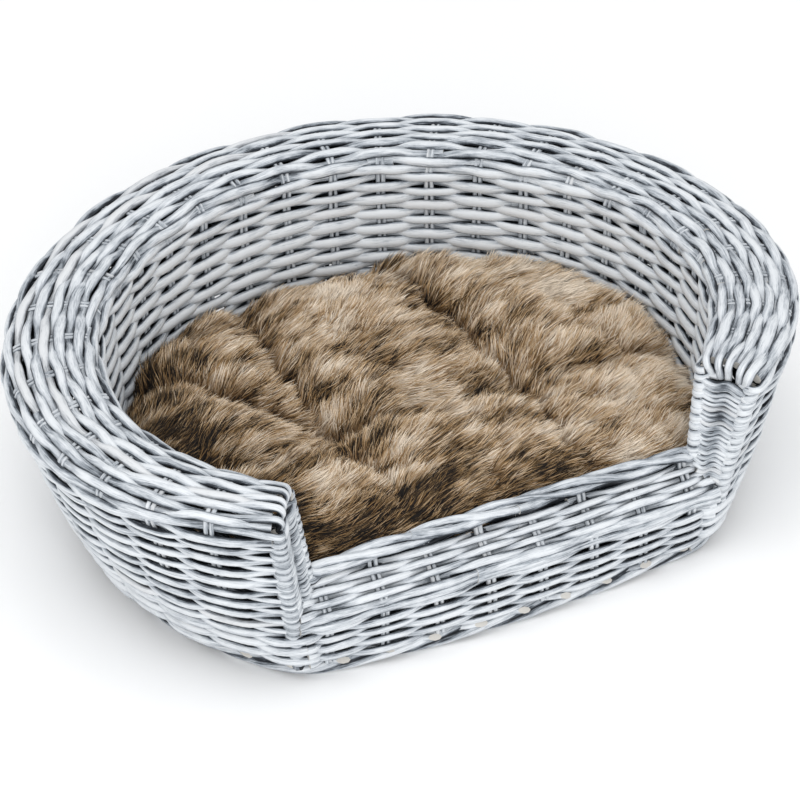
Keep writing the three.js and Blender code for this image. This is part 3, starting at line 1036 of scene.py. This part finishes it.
def base_outline(count=900):
    """Evenly spaced points and outward directions right round the base, with soft corners."""
    ring = inset(BASE, BORDER_INSET)
    wall, _ = around(ring, np.linspace(0, 1, 400))
    front = front_points(base_front, np.linspace(0, FRONT_SPANS, 200)[1:-1])
    points = np.concatenate([wall, front])
    closed = np.concatenate([points, points[:1]])
    run = distances(closed)
    even = np.linspace(0, run[-1], count, endpoint=False)
    points = np.stack([np.interp(even, run, closed[:, k]) for k in range(3)], 1)
    shifts = range(-CORNER_POINTS, CORNER_POINTS + 1)
    points = sum(np.roll(points, shift, axis=0) for shift in shifts) / len(shifts)
    along = unit(np.roll(points, -1, axis=0) - np.roll(points, 1, axis=0))
    return points, np.stack([along[:, 1], -along[:, 0], 0 * along[:, 0]], 1), run[-1]


outline, outline_out, outline_length = base_outline()
print("base is", round(outline_length * 1000), "mm round")

# %% Base border
BORDER_RADIUS = 0.0036
BORDER_ORBIT = 0.0029
BORDER_HEIGHT = 0.0068
STRANDS = 3
TWIST = 0.2
STUB_APART = 0.033
STUB_LENGTH = 0.02
STUB_WIDE, STUB_DEEP, STUB_SLANT = 0.0024, 0.0022, 2.2
STUB_OUT, STUB_HEIGHT = 0.0052, 0.0112

travel = np.linspace(0, outline_length, len(outline) + 1)
turns = round(outline_length / TWIST)
loop = np.arange(len(outline) + 1) % len(outline)
border_rods = []
for strand in range(STRANDS):
    angle = 2 * math.pi * (turns * travel / outline_length + strand / STRANDS)
    spoke = outline_out[loop] * np.cos(angle)[:, None]
    spoke[:, 2] = np.sin(angle)
    line = outline[loop] + spoke * BORDER_ORBIT
    line[:, 2] += BORDER_HEIGHT
    line[:, 2] = np.maximum(line[:, 2], BORDER_RADIUS + 0.0001)
    width = BORDER_RADIUS * (1 + wander(travel, 0.06, 0.12))
    border_rods.append(rod(line, spoke, width, width, 0.6 * np.cos(angle)))
stub_at = (np.arange(0, outline_length, STUB_APART) / outline_length * len(outline)).astype(int)
for at in stub_at:
    out = outline_out[at]
    along = np.array([-out[1], out[0], 0])
    face = unit(out + np.array([0, 0, 0.75]))
    aim = unit(along + out * 0.3 + np.array([0, 0, 0.1 * dice.normal()]))
    tip = outline[at] + out * STUB_OUT + np.array([0, 0, STUB_HEIGHT])
    line = tip - aim * np.linspace(STUB_LENGTH, 0, 5)[:, None]
    border_rods.append(rod(line, face, STUB_WIDE, STUB_DEEP, 0.3, slant=STUB_SLANT))
bundle("twisted_base_border", border_rods, ["base_border"])

# %% Woven floor
FLOOR_PITCH = 0.0066
FLOOR_STICKS = 0.038
FLOOR_SWING = 0.0015
FLOOR_WIDE, FLOOR_DEEP = 0.0034, 0.0019
STICK_WIDE, STICK_DEEP = 0.0042, 0.0017
FLOOR_INSET = 0.009
FRONT_GAP, BACK_GAP = 0.006, 0.004
UP = np.array([0, 0, 1.0])
floor_low, floor_high = low("base_weave"), high("base_weave")
floor_height = (floor_low[2] + floor_high[2]) / 2


def polar(points):
    """Direction and distance of points from the nest's centre, seen from above."""
    x, y = points[:, 0], points[:, 1] - CENTRE_Y
    return np.arctan2(y, x), np.hypot(x, y)


outline_angle, outline_far = polar(outline)


def on_floor(points):
    angle, far = polar(points)
    edge_far = np.interp(angle, outline_angle, outline_far - FLOOR_INSET, period=2 * math.pi)
    return far < edge_far


floor_rods = []
floor_rows = np.arange(floor_low[1] + FRONT_GAP, floor_high[1] - BACK_GAP, FLOOR_PITCH)
for number, y in enumerate(floor_rows):
    x = np.linspace(floor_low[0], floor_high[0], 110)
    wave = np.cos(math.pi * (x / FLOOR_STICKS + number))
    line = np.stack([x, y + wander(x, 0.0006, 0.2), floor_height + FLOOR_SWING * wave], 1)
    line = line[on_floor(line)]
    if len(line) > 8:
        floor_rods.append(rod(line, UP, FLOOR_WIDE, FLOOR_DEEP, 0.3))
for x in np.arange(-5, 6) * FLOOR_STICKS:
    y = np.linspace(floor_low[1], floor_high[1], 60)
    line = np.stack([np.full(60, x), y, np.full(60, floor_height)], 1)
    floor_rods.append(rod(line[on_floor(line)], UP, STICK_WIDE, STICK_DEEP, -0.2))
bundle("woven_floor", floor_rods, ["base_weave"])

# %% [markdown]
# ## The cushion's shape
# The cushion is a loose plush bag that fills the nest. Its plan is the plan of the nest, cut off
# straight behind the sill. It starts as a plain crowned bag, a little smaller than the finished one.
# Blown up as cloth it swells much further than is wanted, so each point keeps the direction in which
# it went and only the first millimetres of the way.

# %% A plain bag
PILE_ROOM = 0.004
CUSHION_CUT = -0.1855
CUSHION_LIFT = 0.0165
BAG_SIDES = 150
CORNER_SOFTNESS = 14
cushion_high = high("cushion_cover")
CUSHION = level(cushion_high[0] - PILE_ROOM, cushion_high[1] - CENTRE_Y - PILE_ROOM, 0.188, 0, 0)
# Share of the way out from the middle, and height above the bag's bottom, from the bottom up.
BAG_PROFILE = np.array([
    [0.0, 0.0], [0.3, 0.0], [0.6, 0.0], [0.8, 0.0], [0.9, 0.001], [0.955, 0.005], [0.985, 0.013],
    [0.998, 0.022], [1.0, 0.034], [0.992, 0.043], [0.965, 0.0495], [0.9, 0.0535], [0.75, 0.056],
    [0.5, 0.057], [0.25, 0.0575], [0.0, 0.058],
])


def plan_reach(angle):
    """How far the cushion reaches from the nest's centre, in each direction."""
    cosine, sine = np.cos(angle), np.sin(angle)
    depth = np.where(sine > 0, CUSHION[1], CUSHION[2])
    reach = 1 / np.sqrt((cosine / CUSHION[0]) ** 2 + (sine / depth) ** 2)
    cut = (CENTRE_Y - CUSHION_CUT) / np.maximum(-sine, 1e-3)
    softness = CORNER_SOFTNESS
    return (reach**-softness + cut**-softness) ** (-1 / softness)


# %% The bag's mesh
def bag_mesh(name, profile, bottom=CUSHION_LIFT):
    """A closed bag on the cushion's plan, from its profile."""
    angle = np.linspace(0, 2 * math.pi, BAG_SIDES, endpoint=False)
    reach = plan_reach(angle)
    rings = []
    for share, height in profile[1:-1]:
        x = reach * share * np.cos(angle)
        y = CENTRE_Y + reach * share * np.sin(angle)
        rings.append(np.stack([x, y, np.full(BAG_SIDES, bottom + height)], 1))
    ends = [[0, CENTRE_Y, bottom + profile[k, 1]] for k in (0, -1)]
    points = np.concatenate([*rings, ends])
    here = np.arange(BAG_SIDES)
    after = (here + 1) % BAG_SIDES
    count = len(rings)
    quads = tube_faces(count, BAG_SIDES)
    foot, head = count * BAG_SIDES, count * BAG_SIDES + 1
    last = (count - 1) * BAG_SIDES
    fans = np.concatenate([
        np.stack([after, here, np.full(BAG_SIDES, foot)], 1),
        np.stack([last + here, last + after, np.full(BAG_SIDES, head)], 1),
    ])
    smooth = [np.ones(len(quads), bool), np.ones(len(fans), bool)]
    return mesh_from(name, points, [quads, fans], smooth, {})


def read(items, key, kind=float):
    """Three numbers of each vertex or triangle of a mesh, as an array."""
    numbers = np.empty(len(items) * 3, kind)
    items.foreach_get(key, numbers)
    return numbers.reshape(-1, 3)


def read_points(mesh):
    return read(mesh.vertices, "co")


def write_points(mesh, points):
    mesh.vertices.foreach_set("co", points.astype(np.float32).ravel())
    mesh.update()


def apply_modifiers(piece):
    """Replaces a piece's mesh with what its modifiers make of it, and drops the modifiers."""
    depsgraph = bpy.context.evaluated_depsgraph_get()
    made = bpy.data.meshes.new_from_object(piece.evaluated_get(depsgraph))
    piece.modifiers.clear()
    piece.data = made


# %% Blow the bag up as cloth
VOXEL = 0.005
PRESSURE = 4
SIM_FRAMES = 20
MOST_MOVE = 0.007
SECTORS = 60

bag = bag_mesh("plush_cover", BAG_PROFILE)
even = bag.modifiers.new("even_mesh", "REMESH")
even.mode = "VOXEL"
even.voxel_size = VOXEL
apply_modifiers(bag)
before = read_points(bag.data)
cloth = bag.modifiers.new("blow_up", "CLOTH")
cloth.settings.quality = 5
cloth.settings.mass = 0.3
cloth.settings.tension_stiffness = 5
cloth.settings.compression_stiffness = 5
cloth.settings.bending_stiffness = 0.5
cloth.settings.use_pressure = True
cloth.settings.uniform_pressure_force = PRESSURE
cloth.settings.effector_weights.gravity = 0
for step in range(1, SIM_FRAMES + 1):
    bpy.context.scene.frame_set(step)
apply_modifiers(bag)
moved = read_points(bag.data) - before
size = np.linalg.norm(moved, axis=1, keepdims=True)
moved = moved * np.minimum(1, MOST_MOVE / np.maximum(size, 1e-9))
after_blow = before + moved
# It lies flat on its base cloth, and is spread until it fills the nest's outline again.
after_blow[:, 2] = np.clip(after_blow[:, 2], CUSHION_LIFT, None)
spoke = after_blow[:, :2] - [0, CENTRE_Y]
angle, far = polar(after_blow)
fullness = far / plan_reach(angle)
sector = ((angle + math.pi) / (2 * math.pi) * SECTORS).astype(int) % SECTORS
widest = np.zeros(SECTORS)
np.maximum.at(widest, sector, fullness)
middles = (np.arange(SECTORS) + 0.5) / SECTORS * 2 * math.pi - math.pi
spread = 1 / np.interp(angle, middles, widest, period=2 * math.pi)
after_blow[:, :2] = spoke * spread[:, None] + [0, CENTRE_Y]
write_points(bag.data, after_blow)
print("the cloth moved", round(float(size.mean()) * 1000, 1), "mm on average")
print("of each point's move at most", round(MOST_MOVE * 1000), "mm are kept")
bpy.context.scene.frame_set(1)

# %% [markdown]
# ## Seams and tufts
# Two ties pull the cover down to the base cloth, and seams run out from them to the edges. Between
# the seams the stuffing stands up in lobes. The seams are cut into the blown-up bag: each point sinks
# by how near it is to a seam, and most of all at the tufts.

# %% Where the seams run
TUFT_LEFT = (-0.066, -0.057)
TUFT_RIGHT = (0.075, -0.060)
SEAMS = [
    [TUFT_LEFT, (-0.075, -0.01), (-0.075, 0.05), (-0.062, 0.1), (-0.055, 0.15)],
    [TUFT_RIGHT, (0.075, 0.005), (0.058, 0.09), (0.04, 0.15)],
    [TUFT_LEFT, (-0.115, 0.005), (-0.165, 0.06), (-0.2, 0.08)],
    [TUFT_LEFT, (0.0, -0.068), TUFT_RIGHT],
    [TUFT_RIGHT, (0.13, -0.075), (0.205, -0.07)],
    [TUFT_LEFT, (-0.06, -0.18)],
    [TUFT_RIGHT, (0.066, -0.18)],
    [TUFT_LEFT, (-0.14, -0.075), (-0.2, -0.06)],
]
SEAM_DEPTH = np.array([12, 13, 12, 11, 12, 6, 6, 9]) * MM
SEAM_WIDTH = 0.015
TUFT_DEPTH = 0.02
TUFT_WIDTH = 0.024
FULL_SEAM = 0.014
SEAM_STRAY = 0.005
SLUMP_AT = np.array([-0.005, 0.135])
SLUMP_SIZE = np.array([0.065, 0.045])
SLUMP_DEPTH = 0.017


# %% How deep the cushion dips
def distance_to_line(points, line):
    line = np.array(line)
    nearest = np.full(len(points), np.inf)
    for a, b in zip(line[:-1], line[1:]):
        along = b - a
        share = np.clip(((points - a) @ along) / (along @ along), 0, 1)
        nearest = np.minimum(nearest, np.linalg.norm(points - a - share[:, None] * along, axis=1))
    return nearest


def slow_noise(points, size, seed):
    """Smooth noise over the plan, from a few waves in different directions."""
    waves = np.random.default_rng(seed)
    total = 0
    for k in range(7):
        turn = waves.random() * 2 * math.pi
        step = 2 * math.pi / (size * (0.7 + waves.random()))
        phase = waves.random() * 2 * math.pi
        along = points[:, 0] * math.cos(turn) + points[:, 1] * math.sin(turn)
        total = total + np.sin(along * step + phase)
    return total / 7**0.5 / 1.2


def valley(plan):
    """How deep in a seam a place is, in metres, and the same from 0 to 1."""
    warped = plan + SEAM_STRAY * np.stack([slow_noise(plan, 0.05, 5), slow_noise(plan, 0.05, 6)], 1)
    depth = np.zeros(len(plan))
    for line, deep in zip(SEAMS, SEAM_DEPTH):
        near = distance_to_line(warped, line)
        depth = np.maximum(depth, deep * np.exp(-((near / SEAM_WIDTH) ** 1.6)))
    for tuft in (TUFT_LEFT, TUFT_RIGHT):
        near = np.linalg.norm(plan - tuft, axis=1)
        depth = depth + (TUFT_DEPTH - 0.6 * depth) * np.exp(-((near / TUFT_WIDTH) ** 1.5))
    return depth, np.clip(depth / FULL_SEAM, 0, 1)


# %% Sink the seams
LOBES, LUMPS = 0.0035, 0.0012
SWELL = 0.006
UPPER_FROM, UPPER_HEIGHT = 0.012, 0.034


def sink(points):
    """Sinks the upper side of the bag along its seams, and makes the lobes uneven. The stuffing has
    slumped away from the middle of the back."""
    upper = np.clip((points[:, 2] - CUSHION_LIFT - UPPER_FROM) / UPPER_HEIGHT, 0, 1)
    upper = upper * upper * (3 - 2 * upper)
    plan = points[:, :2]
    depth, _ = valley(plan)
    lobes = LOBES * slow_noise(plan, 0.09, 11) + LUMPS * slow_noise(plan, 0.035, 12)
    slump = SLUMP_DEPTH * np.exp(-(((plan - SLUMP_AT) / SLUMP_SIZE) ** 2).sum(1))
    points = points.copy()
    points[:, 2] += upper * (SWELL + lobes - depth * 1.05 - slump)
    return points


write_points(bag.data, sink(read_points(bag.data)))
finer = bag.modifiers.new("finer", "SUBSURF")
finer.levels = finer.render_levels = 1
apply_modifiers(bag)
for face in bag.data.polygons:
    face.use_smooth = True
skin = read_points(bag.data)
print("cover from", (skin.min(0) * 1000).round(), "to", (skin.max(0) * 1000).round(), "mm")

# %% [markdown]
# ## Plush colours
# Long-pile plush is dark at the roots and pale at the tips; the darkening towards the roots is partly
# its own undercoat and partly painted shade deep in the pile. The strands are not all alike: most are
# cream or golden brown, and some are nearly black, so the pile looks brindled. Painted shade darkens
# the pile in the seams, near the wall on the left and where it turns down at the sill, and painted
# light makes the lobes at the right paler.

# %% Plush, cloth, wadding and thread
BANDS = (22, 40, 14)
DARKEST_PATCH_AND_SHADE = -0.42


def pile_material():
    recipe = Recipe("brindled_pile")
    rise = recipe.attribute("rise")
    strand = recipe.attribute("strand")
    sunk = recipe.attribute("sunk")
    bands = recipe.noise(recipe.stretched(recipe.place(), BANDS), 1.0, 3.0)
    # Painted shade: the pile is darker in the seams, near the left wall and at the sill, and paler at
    # the right.
    patches_and_shade = (bands - 0.5) * 2.0 + 0.13 - sunk * 0.27
    patches_and_shade = recipe.node("ShaderNodeMath", {"operation": "MAXIMUM"}, {0: patches_and_shade, 1: DARKEST_PATCH_AND_SHADE})
    kind = strand + patches_and_shade
    tint = recipe.ramp(kind, [
        (0.0, (0.012, 0.01, 0.009)),
        (0.2, (0.04, 0.028, 0.018)),
        (0.36, (0.36, 0.215, 0.09)),
        (0.56, (0.62, 0.45, 0.275)),
        (0.95, (0.92, 0.81, 0.67)),
    ])
    # Painted shade: the strands darken towards their roots, partly their own dark undercoat and partly
    # shade deep in the pile.
    shade = recipe.ramp(rise, [
        (0.0, (0.03, 0.024, 0.02)),
        (0.42, (0.36, 0.31, 0.26)),
        (0.85, (1, 1, 1)),
    ])
    settings = {"data_type": "RGBA", "blend_type": "MULTIPLY"}
    colour = recipe.node("ShaderNodeMix", settings, {0: 1.0, 6: tint, 7: shade}, output=2)
    return recipe.set(Base_Color=colour, Roughness=0.62, Specular_IOR_Level=0.15)


def cloth_material(name, first, second, fine):
    """Two-tone cloth or thread. fine is how many threads there are to a metre."""
    recipe = Recipe(name)
    place = recipe.place()
    threads = recipe.noise(recipe.stretched(place, (fine, fine * 4, fine)), 1.0, 2.0)
    crossing = recipe.noise(recipe.stretched(place, (fine * 4, fine, fine)), 1.0, 2.0)
    both = (threads + crossing) * 0.5
    colour = recipe.mix(both, first, second)
    return recipe.set(Base_Color=colour, Roughness=0.9, Normal=recipe.bump(both, 0.6, 0.0005))


PILE = pile_material()
BACKING = cloth_material("plush_backing", (0.03, 0.02, 0.014), (0.1, 0.07, 0.045), 300)
BASE_CLOTH = cloth_material("brown_base_cloth", (0.09, 0.07, 0.055), (0.2, 0.16, 0.12), 420)
WADDING = cloth_material("white_wadding", (0.72, 0.72, 0.7), (0.9, 0.9, 0.88), 60)
THREAD = cloth_material("waxed_thread", (0.08, 0.06, 0.045), (0.2, 0.15, 0.11), 900)

bag.data.materials.clear()
bag.data.materials.append(BACKING)
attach(bag, "cushion")
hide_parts("cushion_cover")

# %% [markdown]
# ## The pile
# The pile is made of real strands, not a picture of them. Each strand is a narrow ribbon that leaves
# the cover steeply and lies over along the direction in which the plush is brushed. Strands that
# start close together lean towards one tip, as damp or brushed hair does, and form locks.

# %% Where the strands stand
STRANDS_TOTAL = 170000
PILE_PIECES = 6
BARE_BELOW = 0.016


def plant(mesh, count):
    """Random places on the cover's top and sides, with the surface's direction at each."""
    mesh.calc_loop_triangles()
    corners = read(mesh.loop_triangles, "vertices", np.int32)
    points = read_points(mesh)
    normals = read(mesh.vertices, "normal")
    a, b, c = (points[corners[:, k]] for k in range(3))
    area = np.linalg.norm(np.cross(b - a, c - a), axis=1)
    height = (a + b + c)[:, 2] / 3
    area = area * (height > CUSHION_LIFT + BARE_BELOW)
    chosen = dice.choice(len(area), count, p=area / area.sum())
    u, v = dice.random(count), dice.random(count)
    flip = u + v > 1
    u, v = np.where(flip, 1 - u, u), np.where(flip, 1 - v, v)
    weights = np.stack([1 - u - v, u, v], 1)[:, :, None]
    around_each = corners[chosen]
    return (points[around_each] * weights).sum(1), unit((normals[around_each] * weights).sum(1))


# %% Locks and shades
def lock_values(cells, seed):
    """A random number for each lock, the same for every strand in it. Large primes mix the lock's
    place well enough for that."""
    mixed = (cells[:, 0] * 73856093) ^ (cells[:, 1] * 19349663) ^ (seed * 83492791)
    return (np.abs(mixed) % 100003) / 100003


def shade_of(roots):
    """Painted shade on the pile, where shade falls: in the seams, to the left near the wall and where
    it turns down at the sill. Lobes at the right are painted paler, as painted light."""
    _, sunk = valley(roots[:, :2])
    x, y = roots[:, 0], roots[:, 1]
    at_sill = np.clip((-0.135 - y) / 0.03, 0, 1) * np.clip((0.13 - x) / 0.16, 0.25, 1)
    at_left = 0.4 * np.clip((-0.06 - x) / 0.09, 0, 1) + 0.8 * np.clip((-0.13 - x) / 0.03, 0, 1)
    at_right = np.clip((x - 0.03) / 0.1, 0, 1)
    return np.clip(0.9 * sunk + 1.8 * at_sill + at_left - 0.6 * at_right, -0.8, 2.2)


# %% Shape of the strands
PILE_LENGTH = 0.02
STRAND_WIDTH = 0.0003
LOCK_SIZE = 0.0062
LOCK_MIX = 0.35
LOCK_PULL = 0.6
RISES = np.array([0.0, 0.3, 0.65, 1.0])
SLIM = np.array([1.0, 1.0, 0.75, 0.12])
BRUSHED = math.atan2(0.39, 0.92)


def grow(roots, normals):
    """Ribbons that rise from roots: their points, what kind of strand each is, and its painted shade.
    """
    count = len(roots)
    stray = LOCK_MIX * dice.normal(size=(count, 2))
    cells = np.floor(roots[:, :2] / LOCK_SIZE + stray).astype(np.int64)
    off_middle = np.stack([lock_values(cells, 1), lock_values(cells, 2)], 1) - 0.5
    centre = (cells + 0.5 + 0.6 * off_middle) * LOCK_SIZE
    turn = BRUSHED + 0.45 * slow_noise(roots, 0.12, 21) + 0.55 * (lock_values(cells, 3) - 0.5)
    turn = turn + 0.12 * dice.normal(size=count)
    comb = pointing(turn)
    comb = unit(comb - (comb * normals).sum(1, keepdims=True) * normals)
    sunk = shade_of(roots)
    length = PILE_LENGTH * (0.8 + 0.35 * lock_values(cells, 4)) * (0.8 + 0.35 * dice.random(count))
    lean = 0.42 + 0.16 * lock_values(cells, 5) + 0.1 * slow_noise(roots, 0.15, 22)
    side_on = np.clip(1 - normals[:, 2], 0, 1)
    length = length * (1 - 0.45 * side_on)
    rise = RISES[None, :, None]
    flat_part = comb[:, None] * rise * (0.55 + 0.45 * rise)
    upright = normals[:, None] * lean[:, None, None] * (rise - 0.42 * rise**2)
    line = roots[:, None] + length[:, None, None] * (flat_part + upright)
    pull = np.zeros((count, 1, 3))
    pull[:, 0, :2] = centre - roots[:, :2]
    line = line + pull * LOCK_PULL * rise**1.5
    width_way = unit(np.cross(comb, normals) + 0.5 * dice.normal(size=(count, 1)) * normals)
    width = STRAND_WIDTH * (0.7 + 0.6 * dice.random(count))[:, None, None]
    half = width_way[:, None] * width * SLIM[None, :, None]
    points = np.stack([line - half, line + half], 2)
    strand = 0.7 * dice.random(count) + 0.3 * lock_values(cells, 6)
    return points, strand, sunk


# %% Grow the pile
roots, normals = plant(bag.data, STRANDS_TOTAL)
order = np.argsort(roots[:, 0])
for number, part in enumerate(np.array_split(order, PILE_PIECES)):
    points, strand, sunk = grow(roots[part], normals[part])
    count = len(part)
    steps = len(RISES)
    base = np.arange(count)[:, None] * steps * 2
    k = np.arange(steps - 1)[None] * 2
    quads = np.stack([base + k, base + k + 1, base + k + 3, base + k + 2], -1).reshape(-1, 4)
    values = {
        "rise": np.tile(np.repeat(RISES, 2), count),
        "strand": np.repeat(strand, steps * 2),
        "sunk": np.repeat(sunk, steps * 2),
    }
    smooth = [np.ones(len(quads), bool)]
    pile = mesh_from(f"plush_pile_{number + 1}", points.reshape(-1, 3), [quads], smooth, values)
    pile.data.materials.append(PILE)
    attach(pile, "cushion")
print(STRANDS_TOTAL, "strands in", PILE_PIECES, "pieces")

# %% [markdown]
# ## Under and inside the cushion
# A plain base cloth closes the cover underneath. Inside are the stuffing and the two ties, which only
# show when the cushion is opened, so they are kept simple but true.

# %% Base cloth
CLOTH_SHARES = np.array([0, 0.5, 0.84, 0.882, 0.89, 0.882, 0.84, 0.5, 0])
CLOTH_SIDES = np.array([0, 0, 0, 0, 0.5, 1, 1, 1, 1])
CLOTH_OVERLAP = 0.0003
cloth_low = low("cushion_base_cloth")[2]
cloth_thick = CUSHION_LIFT + CLOTH_OVERLAP - cloth_low
cloth_profile = np.stack([CLOTH_SHARES, CLOTH_SIDES * cloth_thick], 1)
base_cloth = bag_mesh("base_cloth", cloth_profile, cloth_low)
print("base cloth is", round(cloth_thick * 1000, 1), "mm thick")
base_cloth.data.materials.append(BASE_CLOTH)
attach(base_cloth, "cushion")
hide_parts("cushion_base_cloth")

# %% Filling
FILLING_SIZE = np.array([0.94, 0.86])
FILLING_GAP = 0.002
filling = bag_mesh("loose_filling", BAG_PROFILE * FILLING_SIZE, CUSHION_LIFT + FILLING_GAP)
stuffed = read_points(filling.data)
lumps = 0.0015 * slow_noise(stuffed[:, :2], 0.03, 31)
depth, _ = valley(stuffed[:, :2])
upper = np.clip((stuffed[:, 2] - CUSHION_LIFT - UPPER_FROM) / 0.03, 0, 1)
stuffed[:, 2] += upper * (lumps - depth)
write_points(filling.data, stuffed)
filling.data.materials.append(WADDING)
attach(filling, "cushion")
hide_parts("cushion_filling")
print("filling has", len(stuffed), "points")

# %% Ties
TIE_PITCH = 0.004
TIE_RADIUS = 0.0006

for number in (1, 2):
    node = f"cushion_tie_{number}"
    tie_low, tie_high = low(node), high(node)
    height = np.linspace(tie_low[2], tie_high[2], 40)
    angle = (height - height[0]) / TIE_PITCH * 2 * math.pi
    middle = (tie_low + tie_high) / 2
    plies = []
    for ply in (0, math.pi):
        spoke = pointing(angle + ply)
        axis = np.stack([np.full(40, middle[0]), np.full(40, middle[1]), height], 1)
        plies.append(rod(axis + spoke * TIE_RADIUS, spoke, TIE_RADIUS, TIE_RADIUS, 0.2))
    bundle(f"twisted_tie_{number}", plies, [node], "cushion", THREAD)
